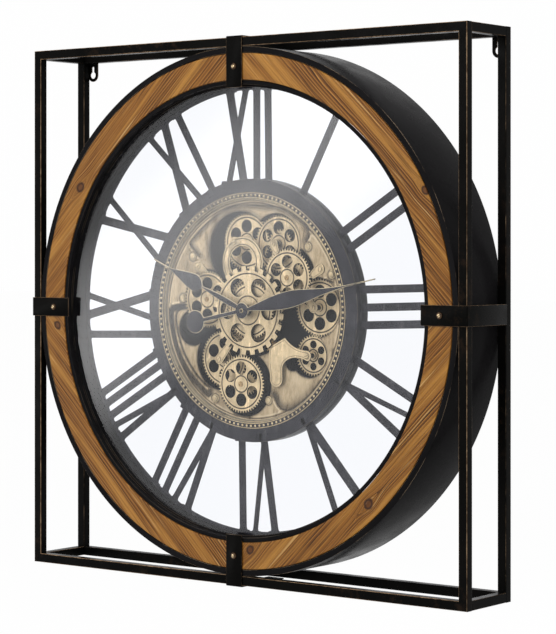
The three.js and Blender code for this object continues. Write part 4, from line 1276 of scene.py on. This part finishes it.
def build_panel():
    openings = panel_openings()
    outer = ring(CENTRE, PANEL_R, 160)
    holes = [ring(at, r, 110) for at, r in openings]
    loops = [(outer, PANEL_FRONT)]
    loops += [(hole, PANEL_FRONT + 0.5) for hole in holes]
    loops += [(ring(at, r + 0.7, 110), None) for at, r in openings]
    loops += [(ring(CENTRE, r, 200), None) for r in RIM_RINGS]
    cells = round(PANEL_R / PANEL_CELL)
    axis = np.arange(-cells, cells + 1) * PANEL_CELL
    grid = np.array([(x + (0.5 * PANEL_CELL if k % 2 else 0), z) for k, z in enumerate(axis) for x in axis])
    room = away_from(grid, CENTRE) < GRID_R
    for at, r in openings:
        room &= away_from(grid, at) > r + 1.6
    mesh = relief(loops, outer, holes, PANEL_BACK, grid[room], lambda spots: panel_surface(spots)[0])
    spots = np.array([(v.co.x / MM, v.co.z / MM) for v in mesh.vertices])
    mesh.attributes["wash_and_shade"].data.foreach_set("value", panel_surface(spots)[1].astype(np.float32))
    add("gear_panel_embossed", mesh, PANEL, "gear_panel")
    seat = PANEL_FRONT - 0.8
    washer = [(0, PANEL_FRONT - 0.9), (4.6, PANEL_FRONT - 0.9), (5.4, PANEL_FRONT), (0, PANEL_FRONT)]
    head = [(4 * math.sin(t), seat - 2.2 * math.cos(t)) for t in np.linspace(0, QUARTER, 8)] + [(0, seat)]
    add("panel_rivets", merged([lathe(p, at, 40) for at in RIVETS for p in (washer, head)]), GOLD)


# Bridges: flat plates with a line incised inside their outline
def lined_plate(outline, depth, thickness, line_in=1.9):
    loops = edge_loops(outline, depth, 0.35)
    for offset, sunk in ((0, 0), (0.25, 0.45), (0.55, 0.45), (0.8, 0)):
        loops.append((inset(outline, line_in + offset), depth + sunk))
    return relief(loops, outline, [], depth + thickness)


def capsule(at, degrees, length, seat_r, tip_r):
    angle = math.radians(degrees)
    tip = polar(length, angle, at)
    seat = arc(at, seat_r, angle + QUARTER, angle + 3 * QUARTER, 24)
    return seat + arc(tip, tip_r, angle - QUARTER, angle + QUARTER, 20)


# A small screw that holds a bridge or an ear
def bridge_screw(at, radius, depth, height, turn):
    return slotted_head(at, radius, depth, height, turn, 0.35, 0.6)


# A horseshoe round the arch's wheel, open over the centre wheel, with a round ear for its stud
def arch_outline():
    towards = math.atan2(-ARCH_CENTRE[1], -ARCH_CENTRE[0])
    far = math.hypot(*ARCH_CENTRE)
    ear = Vector(ARCH_EAR) - Vector(ARCH_CENTRE)
    ear_angle = math.atan2(ear.y, ear.x)

    def side(radius, bulge):
        half = math.acos((far ** 2 + radius ** 2 - ARCH_CUT_R ** 2) / (2 * far * radius))
        points = []
        for i in range(121):
            angle = towards + half + (TAU - 2 * half) * i / 120
            off = ear.length * math.sin(angle - ear_angle)
            along = ear.length * math.cos(angle - ear_angle)
            reach = along + math.sqrt(bulge ** 2 - off ** 2) if abs(off) < bulge and along > 0 else 0
            points.append(polar(max(radius, reach), angle, ARCH_CENTRE))
        return points

    return side(ARCH_OUTER_R, ARCH_EAR_R) + side(ARCH_INNER_R, 0)[::-1]


# An anchor from the lower right wheel's post to a round foot
def build_anchor():
    at = LOWER_RIGHT["at"]
    foot = (43, -87)
    upper, lower = (at[0], at[1] + COCK_R), (at[0], at[1] - COCK_R)
    outline = [tuple(p) for p in corner_curve(Vector((57, -34)), Vector((70, -49)), Vector(upper), 14)]
    outline += arc(at, COCK_R, QUARTER, -QUARTER, 20)[1:]
    outline += bezier(lower, (78, -55), (54, -58), (52.5, -74))
    outline += [(53, -87)] + arc(foot, 10, 0, -math.pi, 24)[1:]
    outline += bezier((33, -87), (34, -76), (28, -66), (33, -46))
    meshes = [lined_plate(outline, COCK_DEPTH, COCK_T), bridge_screw(at, 3.2, COCK_DEPTH, 1.5, 0.2)]
    meshes.append(rod(foot, 5, COCK_DEPTH + COCK_T / 2, PANEL_FRONT - GAP, 32))
    for spot in ((56, -43), (35, -67), (39, -79), (40, -83)):
        meshes.append(rod(spot, 1.3, COCK_DEPTH - 0.5, COCK_DEPTH + 0.5, 20))
    add("anchor_cast", merged(meshes), GOLD, "anchor_bridge")


def build_bridges():
    cocks = (("top_right", TOP_RIGHT, -65, 9), ("right", RIGHT, 130, 14), ("lower_left", LOWER_LEFT, 48, 26))
    for name, wheel, degrees, length in cocks:
        plate = lined_plate(capsule(wheel["at"], degrees, length, COCK_R, 4.5), COCK_DEPTH, COCK_T, 1.2)
        cock = merged([plate, bridge_screw(wheel["at"], 3.2, COCK_DEPTH, 1.5, degrees)])
        add(f"cock_{name}_cast", cock, GOLD, f"cock_{name}")
    outline = arch_outline()
    loops = edge_loops(outline, COCK_DEPTH, 0.4)
    for radius in (ARCH_INNER_R + 2.2, ARCH_OUTER_R - 2.4):
        loops += grooved(ARCH_CENTRE, radius, COCK_DEPTH, 0.6, 0.5)
    arch = relief(loops, outline, [], COCK_DEPTH + COCK_T)
    stud = bridge_screw(ARCH_EAR, 3.4, COCK_DEPTH, 1.6, 0.4)
    add("arch_cast", merged([arch, stud]), GOLD, "arch_plate")
    build_anchor()
    ears = []
    front = PANEL_FRONT - 1.6
    for spot, degrees, length in (((-88, 56), -40, 15), ((109, 54), 215, 12)):
        ears.append(lined_plate(capsule(spot, degrees, length, 7, 5.2), front, 1.7, 1.3))
        ears.append(bridge_screw(spot, 3.6, front, 1.6, degrees))
    add("panel_ears", merged(ears), GOLD)


# Hands
def hand_plate(outline, angle, depth):
    outline = turned(outline, angle)
    return relief(edge_loops(outline, depth, HAND_BEVEL), outline, [], depth + HAND_T)


def hand_blade(half, angle, depth):
    return hand_plate(half + [(x, -z) for x, z in reversed(half)], angle, depth)


# Half section of a hand's round boss, from its bore at the front round to another radius at the back
def boss(depth, bore, radius, back_r):
    front, back = depth - HAND_LAP, depth + HAND_T + HAND_LAP
    rim = [(radius - HAND_BEVEL, front), (radius, depth + HAND_BEVEL), (radius, back)]
    return [(bore, front), *rim, (back_r, back)]


def build_hands():
    half = [(8.5, 2.2)]
    half += bezier((8.5, 2.2), (30, 5), (50, 11), (76, 11), 24)
    half += bezier((76, 11), (100, 11), (120, 3), (170, 1), 24) + [(212, 0.8)]
    meshes = [hand_blade(half, MINUTE_ANGLE, MINUTE_DEPTH)]
    meshes.append(hand_plate(rectangle(-66, -8, -2.8, 2.8), MINUTE_ANGLE, MINUTE_DEPTH))
    for at, radius in ((CENTRE, 10.5), (polar(-78.5, MINUTE_ANGLE), 15)):
        meshes.append(lathe(boss(MINUTE_DEPTH, 0, radius, 0), at, 80))
    meshes.append(rod(CENTRE, SHAFT_R, MINUTE_DEPTH + 0.6, SHAFT_BACK, 24))
    add("minute_hand_cut", merged(meshes), HAND_PAINT, "minute_hand", body="minute")

    half = [(7, 2.6)]
    half += bezier((7, 2.6), (20, 4.5), (45, 5), (74, 1), 20)
    half += bezier((74, 1), (79, 11.5), (86, 12), (92, 11), 14)
    half += bezier((92, 11), (108, 9), (122, 2.5), (136, 1), 18) + [(164, 0.8)]
    pipe = boss(HOUR_DEPTH, PIPE_BORE_R, 9, PIPE_R) + [(PIPE_R, PIPE_BACK), (PIPE_BORE_R, PIPE_BACK)]
    meshes = [hand_blade(half, HOUR_ANGLE, HOUR_DEPTH), lathe(pipe, sides=80)]
    add("hour_hand_cut", merged(meshes), HAND_PAINT, "hour_hand", body="hour")

    back = MINUTE_DEPTH - GAP
    nut = ((0, 1.5), (1.2, 1.45), (2.0, 1.1), (2.1, 0.7), (2.8, 0.6), (2.8, 0), (0, 0))
    nut_mesh = lathe([(r, back - up) for r, up in nut], sides=48)
    add("hand_nut_turned", nut_mesh, BRIGHT_BRASS, "hand_nut", body="minute")


# Clock movement, motor and cells behind the gear case
# Lays a mesh that was made about the clock's own axis along X, beside the middle of a node
def laid_along_x(mesh, turn, node, beside=0):
    low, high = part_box(node)
    at = (low + high) / 2 + Vector((beside * MM, 0, 0))
    upright = Matrix.Translation((0, -FRONT_Y, 0))
    mesh.transform(Matrix.Translation(at) @ Matrix.Rotation(turn, 4, "Z") @ upright)
    return mesh


# A cell, with a spring at one end of it and a flat contact at the other
def build_cell(name):
    node = f"{name}_cell"
    jacket = [(0, -CELL_HALF), (6.2, -CELL_HALF), (CELL_R, -24.2), (CELL_R, 22.2), (6.4, 23)]
    jacket += [(2.6, 23), (2.6, 24.8), (2.2, CELL_HALF), (0, CELL_HALF)]
    add(f"{node}_jacket", laid_along_x(lathe(jacket, sides=64), QUARTER, node), CELL, node)
    spring = [wire_ring(r, out, 0.3, 8, 32) for r, out in ((4.2, 25.5), (3.4, 24.9), (2.6, 24.3))]
    plate = lathe(rectangle(0, 5.2, -26.45, -26.15), sides=32)
    add(f"{name}_contacts", laid_along_x(merged([*spring, plate], 50), -QUARTER, node, 1), ZINC)


# Raised plus and minus signs beside a cell
def build_marks(name, case, cell):
    face = (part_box(case)[1].y - FRONT_Y) / MM
    low, high = (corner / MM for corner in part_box(cell))
    bar = rectangle(-2, 2, -0.5, 0.5)
    shapes = []
    for x, turn in ((low.x + 4, 0), (low.x + 4, QUARTER), (high.x - 4, 0)):
        shapes.append(([(x + dx, high.z + 4.5 + dz) for dx, dz in turned(bar, turn)], []))
    add(name, union_plate(shapes, face - 0.1, 0.5, 0.12), MARKS)


def build_drive():
    for name, node, bevel in (("movement", "movement_case", 0.8), ("motor", "motor_box", 0.9)):
        case = refined(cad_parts[node].data.copy(), bevel, 3)
        add(f"{name}_moulded", case, PLASTIC, node)
    build_cell("clock")
    build_cell("motor")
    build_marks("movement_marks", "movement_case", "clock_cell")
    build_marks("motor_marks", "motor_box", "motor_cell")
    back = (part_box("set_knob")[1].y - FRONT_Y) / MM
    front = back - KNOB_H
    profile = [(0, back - 0.6), (4.5, back - 0.6), (5.2, back), (6.5, back), (KNOB_R, back - 0.5)]
    profile += [(KNOB_R, front), (2, front), (2, front - KNOB_STEM), (0, front - KNOB_STEM)]

    def knurl(r, angle):
        return r - 0.25 * (1 + math.cos(KNURLS * angle)) / 2 if r > 6 else r

    knob = lathe(profile, (0, KNOB_Z), 168, knurl)
    add("set_knob_knurled", knob, PLASTIC, "set_knob", body="knob")


# Floor, light and camera
SKY_LIGHT = 0.38
SKY_SEEN = 0.995
FLOOR_SEEN = 0.985
FLOOR_HALF = 30
FLOOR_LEVEL = -0.85
WHITE = (1, 1, 1, 1)
LAMPS = (
    ("key", (-1.5, -2.8, 2.3), 1.8, 62),
    ("fill", (2.4, -2.6, 0.6), 2.4, 13),
    ("top", (0.6, 0.0, 2.6), 2.2, 44),
    ("back", (-0.8, 2.8, 1.2), 2.4, 70),
)


def stage_plane(name, corners, material):
    mesh = bpy.data.meshes.new(name)
    mesh.from_pydata(corners, [], [(0, 1, 2, 3)])
    mesh.materials.append(material)
    plane = bpy.data.objects.new(name, mesh)
    bpy.context.collection.objects.link(plane)
    return plane


# A long soft light that only shows as a reflection, brightest along its middle
def build_softbox():
    f = Finish("softbox")
    along, _, across = f.node("SeparateXYZ", {0: f.coords}).outputs
    slanted = f.math("MULTIPLY_ADD", along, 0.16, across)
    glow = f.band(f.math("ABSOLUTE", slanted), 0.38, 0.0)
    light = f.node("Emission", {"Color": WHITE, "Strength": f.times(glow, 5.9)})
    material = f.show(f.band(glow, 0.0, 0.5), f.node("BsdfTransparent"), light)
    box = stage_plane("softbox", [(2 * x, 0, 0.7 * z) for x, z in CORNERS], material)
    box.location = (-1.95, -2.34, 0.08)
    box.rotation_euler = (0, math.radians(-45), 0)
    box.visible_camera = False
    box.visible_diffuse = False
    box.visible_transmission = False
    box.visible_shadow = False


def build_floor():
    f = Finish("floor", roughness=0.9, specular_ior_level=0.0)
    f.finish(f.greys(f.noise(0.5, 2), 186, 190))
    glow = f.node("Emission", {"Color": WHITE, "Strength": 1.0})
    material = f.show(f.times(f.seen(), FLOOR_SEEN), f.shader, glow)
    corners = [(FLOOR_HALF * x, FLOOR_HALF * y, FLOOR_LEVEL) for x, y in CORNERS]
    floor = stage_plane("floor", corners, material)


def build_stage():
    world = bpy.data.worlds.new("studio")
    bpy.context.scene.world = world
    world.use_nodes = True
    sky = Nodes(world.node_tree)
    strength = sky.node("MapRange", {"Value": sky.seen(), "To Min": SKY_LIGHT, "To Max": SKY_SEEN})
    background = sky.tree.nodes["Background"]
    background.inputs["Color"].default_value = WHITE
    sky.tree.links.new(strength.outputs[0], background.inputs["Strength"])
    build_floor()
    build_softbox()
    for name, spot, size, power in LAMPS:
        light = bpy.data.lights.new(name, "AREA")
        light.energy = power
        light.size = size
        lamp = bpy.data.objects.new(name, light)
        lamp.location = spot
        lamp.visible_camera = False
        lamp.visible_glossy = False
        lamp.visible_transmission = False
        lamp.rotation_euler = (-Vector(spot)).to_track_quat("-Z", "Y").to_euler()
        bpy.context.collection.objects.link(lamp)

    camera = bpy.data.cameras.new("camera")
    camera.lens = 127.88
    camera.sensor_width = 36
    camera.shift_x = 0.0301
    camera.shift_y = -0.1156
    viewer = bpy.data.objects.new("camera", camera)
    viewer.location = (1.7827, -2.3072, 0.0859)
    viewer.rotation_euler = (math.radians(90), 0, math.radians(37.665))
    bpy.context.collection.objects.link(viewer)
    bpy.context.scene.camera = viewer
    bpy.context.scene.view_settings.view_transform = "Standard"


build_stage()
build_frame()
build_wood()
build_body()
build_dial()
build_gear_bezel()
build_panel()
build_gear_case()
build_wheels()
build_bridges()
build_hands()
build_drive()
